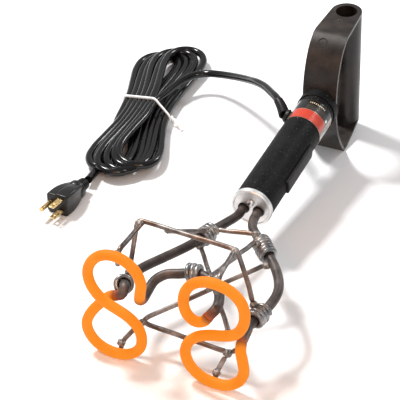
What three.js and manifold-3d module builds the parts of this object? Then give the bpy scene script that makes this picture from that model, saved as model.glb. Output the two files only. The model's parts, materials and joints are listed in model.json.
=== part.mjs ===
import * as THREE from "three";
import { mergeVertices } from "three/addons/utils/BufferGeometryUtils.js";
import ManifoldModule from "manifold-3d";

const kernel = await ManifoldModule();
kernel.setup();

// Electric stock-marking iron. Lengths in mm. Built with the hot figures in the plane y = 0
// and the floor at z = 0, then moved so that the tool's base centre is the origin.

// Hot figures and their mineral-filled sheath
const SHEATH_R = 4;
const SHEATH_STEP = 5;
const FIGURE_HEIGHT = 102;
const FIGURE_WIDTH = 52;
const FIGURE_SPACING = 93;
const FIGURE_MID_X = 1.5;
const LEFT_X = FIGURE_MID_X - FIGURE_SPACING / 2;
const RIGHT_X = FIGURE_MID_X + FIGURE_SPACING / 2;
const CROSSING_DEPTH = 2 * SHEATH_R + 0.8;

// Barrel line: the front face of the end cap and the barrel's rise towards the handle
const CAP_Y = 190;
const CAP_Z = 49;
const BARREL_TILT = THREE.MathUtils.degToRad(6.3);

// Barrel
const BARREL_R = 19.5;
const BARREL_WALL = 2;
const BARREL_LENGTH = 160;
const CAP_R = BARREL_R + 0.7;
const CAP_FLANGE = 5;
const CAP_SPIGOT = 10;
const LEG_PITCH = 15;
const LEG_DROP = 1.5;
const LEG_INSIDE = 26;
const GAP = 0.3;
const BARREL_START = CAP_FLANGE + GAP;
const BARREL_END = BARREL_START + BARREL_LENGTH;
const BORE_R = BARREL_R - BARREL_WALL;

// Bracing wire
const WIRE_R = 2;
const COIL_CLEAR = 0.45;
const COIL_PITCH = 2 * WIRE_R + 0.3;
const WRAP_R = SHEATH_R + COIL_CLEAR + 2 * WIRE_R;
const STAY_BACK = SHEATH_R + WIRE_R + 0.9;
const LEG_Z = 50;
const FIGURE_TOP = FIGURE_HEIGHT + SHEATH_R;
const BRACKET_Z = FIGURE_TOP - 1;
const BRACKET_LEFT = new THREE.Vector3(LEFT_X - 3.5, 56.5, BRACKET_Z);
const BRACKET_RIGHT = new THREE.Vector3(RIGHT_X - 2, 52, BRACKET_Z);

// Trigger and switch, measured along the barrel from the end cap's front face
const SLOT_START = 40.3;
const SLOT_LENGTH = 63;
const SLOT_HALF = 7.4;
const PADDLE_HALF = 6.8;
const PADDLE_RISE = 2.5;
const PIVOT_S = 47;
const PIVOT_X = BORE_R - 6.5;
const PIVOT_R = 1.55;
const SWITCH_S = PIVOT_S + 41;
const PLATE_X = -6;
const PLATE_THICK = 3;
const PLATE_FACE = PLATE_X + PLATE_THICK;
const PLATE_HALF = BORE_R - 3.5;
const SWITCH_HEIGHT = 8;
const SWITCH_TOP = PLATE_FACE + GAP + SWITCH_HEIGHT;
const PLUNGER_OUT = 2.4;

// Rear D handle, in the barrel's own frame
const HANDLE_WIDTH = 36;
const HANDLE_SKIN = 3.2;
const HANDLE_TOP = 66.8;
const HANDLE_FRONT = BARREL_END + 12;
const HANDLE_CORNER = HANDLE_FRONT + 28.7;
const GRIP_S = HANDLE_CORNER + 46;
const FLOOR_DROP = CAP_Z + HANDLE_CORNER * Math.sin(BARREL_TILT);
const HANDLE_BOTTOM = 0.24 - FLOOR_DROP / Math.cos(BARREL_TILT);
const GRIP_R = 16;
const GRIP_BORE_R = 11;

// Label wrap
const LABEL_START = BARREL_END - 39.3;
const LABEL_LENGTH = 32;

// Cord
const CORD_R = 4.2;
const EXIT_S = BARREL_END - 26.3;
const EXIT_ANGLE = THREE.MathUtils.degToRad(160);
const GLAND_OUTER = BARREL_R + 4.5;
const HANK_R = 39;
const HANK_BOTTOM = 1.8;
const HANK_TOP = 25;
const HANK_FRONT = new THREE.Vector2(-181, 286);
const HANK_REAR = new THREE.Vector2(-221, 481);
const PLUG_WIDTH = 26;
const PLUG_HEIGHT = 25;
const PLUG_BODY = 31;
const PLUG_RELIEF = 24;
const PLUG_FACE = new THREE.Vector3(-197, 168, 12.8);
const PLUG_YAW = THREE.MathUtils.degToRad(-5);

const COLORS = {
  hot: 0xff8a1e,
  sheath: 0x4a403a,
  wire: 0x8f8b86,
  aluminium: 0xc9cacb,
  black: 0x1c1c1d,
  satin: 0x2b2725,
  steel: 0xb4b6b8,
  brass: 0xc79a4a,
  ceramic: 0xe6e0d2,
  label: 0xa9342c,
  cord: 0x101011,
  tie: 0xf2f2ee,
  copper: 0x8c3a2a,
};

const object = new THREE.Group();
const cordNodes = new Set();

function add(name, geometry, color) {
  const material = new THREE.MeshStandardMaterial({ color: COLORS[color] });
  const mesh = new THREE.Mesh(geometry, material);
  mesh.name = name;
  object.add(mesh);
  return mesh;
}

function addCord(name, geometry, color) {
  cordNodes.add(name);
  return add(name, geometry, color);
}

// Closed solids and the boolean kernel

function bare(geometry) {
  const copy = geometry.clone();
  copy.deleteAttribute("normal");
  copy.deleteAttribute("uv");
  copy.clearGroups();
  return mergeVertices(copy, 1e-4);
}

function signedVolume(geometry) {
  const p = geometry.getAttribute("position");
  const index = geometry.getIndex();
  const a = new THREE.Vector3();
  const b = new THREE.Vector3();
  const c = new THREE.Vector3();
  let total = 0;
  for (let i = 0; i < index.count; i += 3) {
    a.fromBufferAttribute(p, index.getX(i));
    b.fromBufferAttribute(p, index.getX(i + 1));
    c.fromBufferAttribute(p, index.getX(i + 2));
    total += a.dot(b.cross(c));
  }
  return total / 6;
}

function outward(geometry) {
  const clean = bare(geometry);
  if (signedVolume(clean) > 0) {
    return clean;
  }
  const index = clean.getIndex();
  for (let i = 0; i < index.count; i += 3) {
    const swap = index.getX(i);
    index.setX(i, index.getX(i + 1));
    index.setX(i + 1, swap);
  }
  return clean;
}

function body(geometry) {
  const clean = outward(geometry);
  const mesh = new kernel.Mesh({
    numProp: 3,
    vertProperties: new Float32Array(clean.getAttribute("position").array),
    triVerts: new Uint32Array(clean.getIndex().array),
  });
  mesh.merge();
  return new kernel.Manifold(mesh);
}

function shell(manifold) {
  const mesh = manifold.getMesh();
  const geometry = new THREE.BufferGeometry();
  geometry.setAttribute("position", new THREE.BufferAttribute(mesh.vertProperties, mesh.numProp));
  geometry.setIndex(new THREE.BufferAttribute(mesh.triVerts, 1));
  geometry.computeVertexNormals();
  return geometry;
}

function joined(...geometries) {
  return shell(kernel.Manifold.union(geometries.map(body)));
}

function cut(geometry, ...tools) {
  const removed = kernel.Manifold.union(tools.map(body));
  return shell(body(geometry).subtract(removed));
}

function common(geometry, tool) {
  return shell(body(geometry).intersect(body(tool)));
}

// Basic shapes

function ring(radius, sides) {
  const points = [];
  for (let i = 0; i < sides; i += 1) {
    const angle = (2 * Math.PI * i) / sides;
    points.push(new THREE.Vector2(radius * Math.cos(angle), radius * Math.sin(angle)));
  }
  return points;
}

function turned(profile, segments = 40) {
  const points = profile.map(([r, y]) => new THREE.Vector2(r, y));
  points.push(points[0].clone());
  return outward(new THREE.LatheGeometry(points, segments));
}

function box(x0, x1, y0, y1, z0, z1) {
  const geometry = new THREE.BoxGeometry(x1 - x0, y1 - y0, z1 - z0);
  geometry.translate((x0 + x1) / 2, (y0 + y1) / 2, (z0 + z1) / 2);
  return geometry;
}

function rodAlong(axis, radius, from, to, sides = 20) {
  const geometry = new THREE.CylinderGeometry(radius, radius, to - from, sides);
  geometry.translate(0, (from + to) / 2, 0);
  if (axis === "x") {
    geometry.rotateZ(-Math.PI / 2);
  }
  if (axis === "z") {
    geometry.rotateX(Math.PI / 2);
  }
  return geometry;
}

function slab(outline, from, to) {
  const shape = new THREE.Shape(outline);
  const geometry = new THREE.ExtrudeGeometry(shape, {
    depth: to - from,
    bevelEnabled: false,
    steps: 1,
  });
  geometry.translate(0, 0, from);
  return geometry;
}

// Moves a shape drawn along the barrel's own axis (y) into its place
function seat(geometry) {
  geometry.rotateX(BARREL_TILT);
  geometry.translate(0, CAP_Y, CAP_Z);
  return geometry;
}

function seated(x, s, h) {
  const point = new THREE.Vector3(x, s, h);
  point.applyAxisAngle(new THREE.Vector3(1, 0, 0), BARREL_TILT);
  return point.add(new THREE.Vector3(0, CAP_Y, CAP_Z));
}

// Bent rods and tubes

class Polyline extends THREE.Curve {
  constructor(points, tangents) {
    super();
    this.points = points;
    this.tangents = tangents;
  }

  getPoint(t) {
    const last = this.points.length - 1;
    const place = Math.min(Math.max(t, 0), 1) * last;
    const i = Math.min(Math.floor(place), last - 1);
    return this.points[i].clone().lerp(this.points[i + 1], place - i);
  }

  getPointAt(u) {
    return this.getPoint(u);
  }

  getSpacedPoints() {
    return this.points.map((point) => point.clone());
  }

  getTangentAt(u) {
    const last = this.points.length - 1;
    const i = Math.round(u * last);
    if (this.tangents) {
      return this.tangents[i].clone();
    }
    const tangent = new THREE.Vector3();
    if (i < last) {
      tangent.add(this.points[i + 1].clone().sub(this.points[i]).normalize());
    }
    if (i > 0) {
      tangent.add(this.points[i].clone().sub(this.points[i - 1]).normalize());
    }
    return tangent.normalize();
  }
}

function swept(points, radius, sides, tangents) {
  const geometry = new THREE.ExtrudeGeometry(new THREE.Shape(ring(radius, sides)), {
    steps: points.length - 1,
    extrudePath: new Polyline(points, tangents),
    bevelEnabled: false,
  });
  return outward(geometry);
}

function rounded(corners, bend, steps = 4) {
  const points = [corners[0].clone()];
  for (let i = 1; i < corners.length - 1; i += 1) {
    const here = corners[i];
    const before = corners[i - 1].clone().sub(here);
    const after = corners[i + 1].clone().sub(here);
    const reach = Math.min(bend, 0.45 * before.length(), 0.45 * after.length());
    const from = here.clone().add(before.setLength(reach));
    const to = here.clone().add(after.setLength(reach));
    const curve = new THREE.QuadraticBezierCurve3(from, here, to);
    points.push(...curve.getPoints(steps));
  }
  points.push(corners[corners.length - 1].clone());
  return points;
}

function vectors(list) {
  return list.map(([x, y, z]) => new THREE.Vector3(x, y, z));
}

// Heater sheath: one continuous tube from the left hole of the end cap, round both figures
// and back to the right hole. It is drawn as five stretches.

const FIGURE_SCALE_X = FIGURE_WIDTH / 52;
const FIGURE_SCALE_Z = FIGURE_HEIGHT / 102;

// Points drawn for a figure 52 wide and 102 high whose tube is centred 4 above the floor
function besideFigure(middle, points) {
  return points.map(([x, y, z]) => {
    const height = SHEATH_R + (z - 4) * FIGURE_SCALE_Z;
    return new THREE.Vector3(middle + x * FIGURE_SCALE_X, y, height);
  });
}

const LEFT_LEG = [
  [-7.9, 178, 46.6],
  [-10.5, 163, 48.5],
  [-16.5, 142, LEG_Z],
  [-25.5, 112, LEG_Z],
  [LEFT_X + 7.3, 86, LEG_Z],
  [LEFT_X - 4, 62, LEG_Z],
  [LEFT_X - 6, 46, LEG_Z + 1],
];

const LEFT_LEAD = [
  [-4, 34, 54],
  [-0.5, 23, 60.5],
  [4.2, 16, 66],
  [7, 10.8, 67],
  [5.8, CROSSING_DEPTH - 1.2, 62.2],
];

const LEFT_FIGURE = [
  [0.5, CROSSING_DEPTH - 1, 59.3],
  [-6, CROSSING_DEPTH, 56],
  [-14.5, 6.2, 47.5],
  [-21, 2, 39],
  [-24.8, 0, 29],
  [-23.4, 0, 18.5],
  [-16.5, 0, 9.5],
  [-6, 0, 4.6],
  [5, 0, 4],
  [17, 0, 8],
  [25.5, 0, 17],
  [27.5, 0, 28],
  [24, 0, 39],
  [15, 0, 47],
  [5, 0, 51.5],
  [-5, 0, 55.5],
  [-14, 0, 62.5],
  [-20, 0, 72],
  [-21.5, 0, 83],
  [-17.5, 0, 94],
  [-9, 0, 102.5],
  [2.5, 0, 106],
  [14.5, 0, 103.5],
  [24, 0, 95.5],
  [28, 0, 85],
  [27, 0, 74.5],
];

const LINK_LEFT = [
  [25.5, 2.2, 66.5],
  [25, 9, 62.6],
  [24.2, 20, 63.8],
  [25, 31, 67],
];

const LINK_MIDDLE = [
  [-15, 39, 70],
  [-4.5, 42, 72],
  [6.5, 43, 75],
];

const LINK_RIGHT = [
  [-28, 42, 77],
  [-16, 36, 77.5],
  [-7, 26.5, 77],
  [-1.5, 15, 77.5],
  [0.3, 5, 77.2],
];

const RIGHT_FIGURE = [
  [-3.4, 0.6, 72.5],
  [-8, 0, 65.8],
  [-15.5, 0, 63],
  [-23, 0, 68],
  [-26.3, 0, 78],
  [-24.8, 0, 90],
  [-18, 0, 100],
  [-7, 0, 105.6],
  [5, 0, 106],
  [16.5, 0, 102.3],
  [24.8, 0, 94],
  [27.7, 0, 83],
  [26, 0, 71],
  [20, 0, 61.5],
  [10, 0, 56.5],
  [-2, 0, 53.2],
  [-13.5, 0, 48],
  [-22, 0, 39],
  [-25, 0, 27.5],
  [-21, 0, 15.5],
  [-11.5, 0, 7],
  [1, 0, 4],
  [13.5, 0, 5.5],
  [23.5, 0, 13],
  [28, 0, 24],
  [26.8, 0, 35],
  [23.8, 2.4, 43.5],
];

const RIGHT_LEAD = [
  [21.5, 9.5, 46.5],
  [19, 20, 48.4],
];

const RIGHT_LEG = [
  [RIGHT_X + 19.5, 34, LEG_Z - 1.4],
  [RIGHT_X + 22, 48, LEG_Z - 1.4],
  [RIGHT_X + 24.5, 62, LEG_Z - 1],
  [RIGHT_X + 24.5, 78, LEG_Z],
  [RIGHT_X + 20, 93, LEG_Z],
  [56, 113, LEG_Z],
  [41, 130, LEG_Z + 0.5],
  [26, 147, LEG_Z + 0.2],
  [13.5, 163, 48.5],
  [8.2, 178, 46.6],
];

function legEntry(side) {
  const x = (side * LEG_PITCH) / 2;
  return [-3, 6, 16, LEG_INSIDE].map((s) => seated(x, s, -LEG_DROP));
}

const sheathKnots = [
  ...legEntry(-1).reverse(),
  ...vectors(LEFT_LEG),
  ...besideFigure(LEFT_X, LEFT_LEAD),
  ...besideFigure(LEFT_X, LEFT_FIGURE),
  ...besideFigure(LEFT_X, LINK_LEFT),
  ...besideFigure(FIGURE_MID_X, LINK_MIDDLE),
  ...besideFigure(RIGHT_X, LINK_RIGHT),
  ...besideFigure(RIGHT_X, RIGHT_FIGURE),
  ...besideFigure(RIGHT_X, RIGHT_LEAD),
  ...vectors(RIGHT_LEG),
  ...legEntry(1),
];
const sheath = new THREE.CatmullRomCurve3(sheathKnots, false, "centripetal");
sheath.arcLengthDivisions = 4000;
const sheathLengths = sheath.getLengths(4000);
const SHEATH_TOTAL = sheathLengths[4000];

function lengthAtKnot(index) {
  return sheathLengths[Math.round((4000 * index) / (sheathKnots.length - 1))];
}

function sheathStretch(from, to, radius) {
  const count = Math.ceil((to - from) / SHEATH_STEP);
  const points = [];
  const tangents = [];
  for (let i = 0; i <= count; i += 1) {
    const u = (from + ((to - from) * i) / count) / SHEATH_TOTAL;
    points.push(sheath.getPointAt(u));
    tangents.push(sheath.getTangentAt(u));
  }
  return swept(points, radius, 10, tangents);
}

const firstHot = 4 + LEFT_LEG.length + LEFT_LEAD.length;
const firstLink = firstHot + LEFT_FIGURE.length;
const linkKnots = LINK_LEFT.length + LINK_MIDDLE.length + LINK_RIGHT.length;
const secondHot = firstLink + linkKnots;
const lastLeg = secondHot + RIGHT_FIGURE.length;
const JOINTS = [
  0,
  lengthAtKnot(firstHot),
  lengthAtKnot(firstLink),
  lengthAtKnot(secondHot),
  lengthAtKnot(lastLeg),
  SHEATH_TOTAL,
];

function addSheath() {
  const names = ["cold_leg_left", "hot_loop_left", "link_tube", "hot_loop_right", "cold_leg_right"];
  const colors = ["sheath", "hot", "sheath", "hot", "sheath"];
  names.forEach((name, i) => {
    const from = JOINTS[i] + (i > 0 ? GAP / 2 : 0);
    const to = JOINTS[i + 1] - (i < 4 ? GAP / 2 : 0);
    add(name, sheathStretch(from, to, SHEATH_R), colors[i]);
  });
}

// Wire wound round the sheath, centred at a length along it
function coil(middle, turns, phase) {
  const steps = Math.round(turns * 12);
  const reach = (turns * COIL_PITCH) / 2;
  const radius = SHEATH_R + WIRE_R + COIL_CLEAR;
  const points = [];
  for (let i = 0; i <= steps; i += 1) {
    const u = (middle - reach + (2 * reach * i) / steps) / SHEATH_TOTAL;
    const centre = sheath.getPointAt(u);
    const along = sheath.getTangentAt(u);
    const across = new THREE.Vector3(0, 0, 1).cross(along).normalize();
    const over = along.clone().cross(across);
    const angle = phase + (2 * Math.PI * turns * i) / steps;
    centre.addScaledVector(across, radius * Math.cos(angle));
    centre.addScaledVector(over, radius * Math.sin(angle));
    points.push(centre);
  }
  return points;
}

function wire(points) {
  return swept(points, WIRE_R, 8);
}

function rod(corners, bend = 8) {
  return wire(rounded(vectors(corners), bend));
}

function lengthNear(x, y, z) {
  const target = new THREE.Vector3(x, y, z);
  let best = 0;
  let least = Infinity;
  for (let i = 0; i <= 1200; i += 1) {
    const distance = sheath.getPointAt(i / 1200).distanceTo(target);
    if (distance < least) {
      least = distance;
      best = (SHEATH_TOTAL * i) / 1200;
    }
  }
  return best;
}

function addCoils() {
  const [lead] = besideFigure(LEFT_X, [LEFT_LEAD[1]]);
  const [link] = besideFigure(FIGURE_MID_X, [[10.5, 43, 76]]);
  const leg = LEG_Z + 0.5;
  add("wrap_left_leg", wire(coil(lengthNear(-19, 132, leg), 3, 0)), "wire");
  add("wrap_left_lead", wire(coil(lengthNear(...lead.toArray()), 2, 2)), "wire");
  add("wrap_link", wire(coil(lengthNear(...link.toArray()), 2, 0)), "wire");
  add("wrap_right_upper", wire(coil(lengthNear(38, 133.5, leg), 5, 0)), "wire");
  add("wrap_right_lower", wire(coil(lengthNear(RIGHT_X + 21.2, 45, leg), 3, 0)), "wire");
}

function bead(x, y, z, radius) {
  const geometry = new THREE.IcosahedronGeometry(radius, 1);
  geometry.translate(x, y, z);
  return geometry;
}

// A stay that ends on a figure: the tail runs down behind the tube under a bead of weld
function welded(corners, beadAt) {
  const stay = joined(rod(corners, 6), bead(beadAt[0], beadAt[1], beadAt[2], 3.8));
  const clear = sheathStretch(JOINTS[1], JOINTS[4], SHEATH_R + GAP);
  return cut(stay, clear);
}

function addUpperStays() {
  const l = BRACKET_LEFT;
  const r = BRACKET_RIGHT;
  const top = FIGURE_TOP;
  const low = top - 14;
  const back = STAY_BACK;
  const bracket = [
    [LEFT_X - 1, 36, BRACKET_Z - 37],
    [LEFT_X - 1.5, 44, BRACKET_Z - 21],
    [l.x, l.y, l.z],
    [r.x, r.y, r.z],
    [RIGHT_X + 10, 50, BRACKET_Z - 33],
    [RIGHT_X + 13.5, 50, LEG_Z + 8],
  ];
  add("bracket_wire", rod(bracket, 5), "wire");

  const leftX = LEFT_X + 3.5;
  const fromLeft = [leftX - 1, l.y - 2 * WIRE_R - 2, top - 1];
  const left = [fromLeft, [leftX, back + 2.1, top - 0.5], [leftX, back, low]];
  add("stay_upper_left", welded(left, [leftX, back - 0.4, top - 1.5]), "wire");

  const rightX = RIGHT_X + 0.5;
  const fromRight = [rightX - 4, r.y - 2 * WIRE_R - 1, top - 1];
  const right = [fromRight, [rightX, back + 2.1, top], [rightX, back, low]];
  add("stay_upper_right", welded(right, [rightX, back - 0.4, top - 1]), "wire");

  const crossX = RIGHT_X - 7.5;
  const fromLeg = [31, 125, LEG_Z + WRAP_R + 3.05];
  const cross = [fromLeg, [crossX, back + 2.1, top - 2], [crossX + 0.5, back, low]];
  add("stay_cross", welded(cross, [crossX, back - 0.2, top - 3.5]), "wire");
}

function addTies() {
  const under = BRACKET_Z - 2 * WIRE_R;
  const onLeg = LEG_Z + SHEATH_R + 2.5 * WIRE_R;
  const left = [[-20, BRACKET_LEFT.y + 0.5, under], [-19, 118, onLeg + 4.5], [-17.5, 127, onLeg]];
  add("tie_wire_left", rod(left, 6), "wire");
  const wrapTop = LEG_Z + WRAP_R;
  const rear = [[-9.5, 138, LEG_Z + 5], [4, 139.5, LEG_Z + 6], [24, 141, wrapTop + 0.05]];
  add("tie_wire_rear", rod(rear, 8), "wire");
  const below = LEG_Z - SHEATH_R - 0.75 * WIRE_R;
  const figureBack = [RIGHT_X + 10.5, STAY_BACK + 0.5, 4 + 52.4 * FIGURE_SCALE_Z];
  const middle = [[-17.5, 118.5, below], [-8, 104, LEG_Z - 2], figureBack];
  add("stay_middle", rod(middle, 10), "wire");
}

function addLowerStays() {
  const loop = [
    [44, 114.5, LEG_Z - 3.5],
    [LEFT_X + 20.5, 26.5, 30],
    [LEFT_X + 18, 21.5, 28],
    [LEFT_X + 24, 20.5, 26.5],
    [RIGHT_X + 3, 21, 22],
  ];
  add("stay_lower", rod(loop, 6), "wire");
  const below = LEG_Z - SHEATH_R - 2.75 * WIRE_R;
  const side = [[RIGHT_X + 18, 38, below], [RIGHT_X + 17, 24, 30], [RIGHT_X + 8.5, 21.2, 23.5]];
  add("stay_lower_right", rod(side, 6), "wire");

  const back = STAY_BACK;
  const foot = WIRE_R + 1;
  const leftX = LEFT_X + 5;
  const left = [[leftX + 11, 17.5, 26.5], [leftX, back + 1.6, 12.5], [leftX - 2, back, foot]];
  add("stay_foot_left", welded(left, [leftX - 0.5, back + 0.6, 11]), "wire");
  const rightX = RIGHT_X + 1;
  const right = [[rightX + 3, 16, 20], [rightX, back + 1.6, 10.5], [rightX - 1.5, back, foot]];
  add("stay_foot_right", welded(right, [rightX - 0.3, back + 0.6, 9.5]), "wire");
}

// End cap, barrel and what is inside it

function legHoles(radius, from, to) {
  return [-1, 1].map((side) => {
    const hole = rodAlong("y", radius, from, to, 24);
    hole.translate((side * LEG_PITCH) / 2, 0, -LEG_DROP);
    return hole;
  });
}

function addEndCap() {
  const end = CAP_FLANGE + CAP_SPIGOT;
  const blank = turned([
    [0, 0.9],
    [CAP_R - 3, 0.9],
    [CAP_R - 2.4, 0],
    [CAP_R - 0.8, 0],
    [CAP_R, 0.8],
    [CAP_R, CAP_FLANGE],
    [BORE_R - GAP, CAP_FLANGE],
    [BORE_R - GAP, end],
    [0, end],
  ], 48);
  const screwHole = rodAlong("y", 1.9, -1, 13, 20);
  screwHole.translate(0, 0, 6.5);
  const holes = legHoles(SHEATH_R + 0.35, -1, end + 1);
  add("end_cap", seat(cut(blank, screwHole, ...holes)), "aluminium");

  const screw = turned([
    [0, -1.8],
    [2.4, -1.5],
    [3.2, -0.5],
    [3.2, 0.6],
    [1.6, 0.6],
    [1.6, 12],
    [0, 12],
  ], 20);
  screw.translate(0, 0, 6.5);
  add("cap_screw", seat(screw), "steel");

  const discFrom = end + GAP;
  const disc = rodAlong("y", BORE_R - GAP, discFrom, discFrom + 4, 40);
  const discHoles = legHoles(SHEATH_R + 0.35, discFrom - 1, discFrom + 5);
  add("insulator_disc", seat(cut(disc, ...discHoles)), "ceramic");
}

function addTerminals() {
  ["left", "right"].forEach((name, i) => {
    const from = LEG_INSIDE + GAP;
    const pin = turned([
      [0, from],
      [1.5, from],
      [1.5, from + 4],
      [2.8, from + 4],
      [2.8, from + 8],
      [1.5, from + 8],
      [1.5, from + 11],
      [0, from + 11],
    ], 12);
    pin.translate((i === 0 ? -0.5 : 0.5) * LEG_PITCH, 0, -LEG_DROP);
    add(`terminal_${name}`, seat(pin), "steel");
  });
}

function addBarrel() {
  const tube = turned([
    [BORE_R, BARREL_START],
    [BARREL_R, BARREL_START],
    [BARREL_R, BARREL_END],
    [BORE_R, BARREL_END],
  ], 48);
  const [inside, outside] = [BORE_R - 7.5, BARREL_R + 10.5];
  const slot = box(inside, outside, SLOT_START, SLOT_START + SLOT_LENGTH, -SLOT_HALF, SLOT_HALF);
  const exit = rodAlong("x", 6.6, inside, outside, 24);
  exit.rotateY(-EXIT_ANGLE);
  exit.translate(0, EXIT_S, 0);
  add("handle_barrel", seat(cut(tube, slot, exit)), "black");
}

function addLabel() {
  const from = THREE.MathUtils.degToRad(-52);
  const to = THREE.MathUtils.degToRad(138);
  const outline = new THREE.Shape();
  outline.absarc(0, 0, BARREL_R + 0.5, from, to, false);
  outline.absarc(0, 0, BARREL_R + 0.15, to, from, true);
  const wrap = new THREE.ExtrudeGeometry(outline, {
    depth: LABEL_LENGTH,
    bevelEnabled: false,
    curveSegments: 28,
  });
  wrap.rotateX(Math.PI / 2);
  wrap.scale(1, -1, 1);
  wrap.translate(0, LABEL_START, 0);
  add("label_wrap", seat(outward(wrap)), "label");
}

function addRearPlug() {
  const from = BARREL_END - 14;
  const plug = turned([
    [3.2, from],
    [BORE_R - GAP, from],
    [BORE_R - GAP, BARREL_END],
    [3.2, BARREL_END],
  ], 40);
  add("barrel_plug", seat(plug), "steel");
}

// Trigger, pivot, switch and the carrier that holds them

function addCarrier() {
  const face = PLATE_FACE;
  const [from, to] = [PIVOT_S - 5, SWITCH_S + 31];
  const plate = box(PLATE_X, face, from, to, -PLATE_HALF, PLATE_HALF);
  const ears = [-1, 1].map((side) => {
    const near = side * 3.2;
    const far = side * 6.2;
    const [low, high] = [Math.min(near, far), Math.max(near, far)];
    return box(face - 1, PIVOT_X + 3, PIVOT_S - 4, PIVOT_S + 4, low, high);
  });
  const pinHole = rodAlong("z", PIVOT_R + 0.08, -9, 9, 24);
  pinHole.translate(PIVOT_X, PIVOT_S, 0);
  const screwHoles = [-7, 7].map((offset) => {
    const hole = rodAlong("x", 1.5, PLATE_X - 1, face + 1, 16);
    hole.translate(0, SWITCH_S + offset, 0);
    return hole;
  });
  add("switch_carrier", seat(cut(joined(plate, ...ears), pinHole, ...screwHoles)), "ceramic");
}

function addTrigger() {
  const outer = BARREL_R + PADDLE_RISE;
  const shellPart = turned([
    [BARREL_R - 1.4, SLOT_START + 0.7],
    [outer - 0.8, SLOT_START + 0.7],
    [outer, SLOT_START + 1.5],
    [outer, SLOT_START + SLOT_LENGTH - 2.2],
    [outer - 0.8, SLOT_START + SLOT_LENGTH - 1.4],
    [BARREL_R - 1.4, SLOT_START + SLOT_LENGTH - 1.4],
  ], 64);
  const reach = [BORE_R - 3.5, outer + 4];
  const window = box(...reach, 0, BARREL_END, -PADDLE_HALF, PADDLE_HALF);
  const plate = common(shellPart, window);
  const lug = box(PIVOT_X - 3, BARREL_R - 0.6, PIVOT_S - 3.5, PIVOT_S + 3.5, -2.8, 2.8);
  const footX = SWITCH_TOP + PLUNGER_OUT + GAP;
  const foot = box(footX, BARREL_R - 0.6, SWITCH_S - 2, SWITCH_S + 2, -2.5, 2.5);
  const hole = rodAlong("z", PIVOT_R + 0.08, -9, 9, 24);
  hole.translate(PIVOT_X, PIVOT_S, 0);
  add("trigger_paddle", seat(cut(joined(plate, lug, foot), hole)), "satin");

  const pin = rodAlong("z", PIVOT_R, -8, 8, 24);
  pin.translate(PIVOT_X, PIVOT_S, 0);
  add("trigger_pin", seat(pin), "steel");
}

function addSwitch() {
  const face = PLATE_FACE + GAP;
  const top = SWITCH_TOP;
  const block = box(face, top, SWITCH_S - 11, SWITCH_S + 11, -6, 6);
  const bore = rodAlong("x", 1.9, face + 1.2, top + 1, 20);
  bore.translate(0, SWITCH_S, 0);
  const screwHoles = [-7, 7].map((offset) => {
    const hole = rodAlong("x", 1.5, face - 1, top + 1, 16);
    hole.translate(0, SWITCH_S + offset, 0);
    return hole;
  });
  add("switch_body", seat(cut(block, bore, ...screwHoles)), "black");

  const plunger = rodAlong("x", 1.6, face + 3.4, top + PLUNGER_OUT, 20);
  plunger.translate(0, SWITCH_S, 0);
  add("switch_plunger", seat(plunger), "brass");

  ["front", "rear"].forEach((name, i) => {
    const screw = turned([
      [0, PLATE_X + 0.2],
      [1.2, PLATE_X + 0.2],
      [1.2, top + 0.2],
      [2.2, top + 0.2],
      [2.2, top + 1.4],
      [0, top + 1.4],
    ], 16);
    screw.rotateZ(-Math.PI / 2);
    screw.translate(0, SWITCH_S + (i === 0 ? -7 : 7), 0);
    add(`switch_screw_${name}`, seat(screw), "steel");
  });
}

function addSpring() {
  const points = [];
  const turns = 6;
  const from = PLATE_FACE + 0.8;
  const to = BARREL_R - 1.4 - 1.5;
  const middle = PIVOT_S + 19;
  for (let i = 0; i <= turns * 10; i += 1) {
    const angle = (2 * Math.PI * i) / 10;
    const x = from + ((to - from) * i) / (turns * 10);
    points.push(new THREE.Vector3(x, middle + 3 * Math.cos(angle), 3 * Math.sin(angle)));
  }
  add("trigger_spring", seat(swept(points, 0.5, 6)), "steel");
}

function exitPoint(s, radius, lift = 0) {
  const x = radius * Math.cos(EXIT_ANGLE);
  const h = radius * Math.sin(EXIT_ANGLE);
  return seated(x, s, h + lift);
}

function addLeads() {
  const lead = (points) => swept(rounded(points, 5, 3), 1.1, 6);
  const left = [
    seated(-LEG_PITCH / 2, LEG_INSIDE + 12.2, -LEG_DROP),
    seated(-9.5, LEG_INSIDE + 24, -1),
    seated(-9.5, EXIT_S - 11, 2),
    exitPoint(EXIT_S - 2.5, BORE_R - 3.9),
  ];
  add("lead_neutral", lead(left), "copper");
  const right = [
    seated(LEG_PITCH / 2, LEG_INSIDE + 12.2, -LEG_DROP),
    seated(7, 41, -10),
    seated(3, 62, -10),
    seated(1, 72, -1),
    seated(1, SWITCH_S - 11.5, 0),
  ];
  add("lead_heater", lead(right), "copper");
  const live = [
    seated(1, SWITCH_S + 11.5, 0),
    seated(1, SWITCH_S + 24, 0),
    seated(-3, SWITCH_S + 40, 2),
    seated(8.5 - BORE_R, EXIT_S - 1, 4),
    exitPoint(EXIT_S + 2.5, BORE_R - 3.9),
  ];
  add("lead_live", lead(live), "copper");
}

function addGland() {
  const gland = turned([
    [0, BORE_R - 2.5],
    [6.2, BORE_R - 2.5],
    [6.2, BARREL_R + 0.9],
    [7.6, BARREL_R + 0.9],
    [7.2, BARREL_R + 2.2],
    [5.8, GLAND_OUTER],
    [0, GLAND_OUTER],
  ], 24);
  gland.rotateZ(-Math.PI / 2);
  gland.rotateY(-EXIT_ANGLE);
  gland.translate(0, EXIT_S, 0);
  add("cord_gland", seat(gland), "black");
}

// Rear D handle: a broad bowed strap in front, a hollow round grip behind, a web above and below

function flat(s, h) {
  return new THREE.Vector3(s, h, 0);
}

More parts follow.
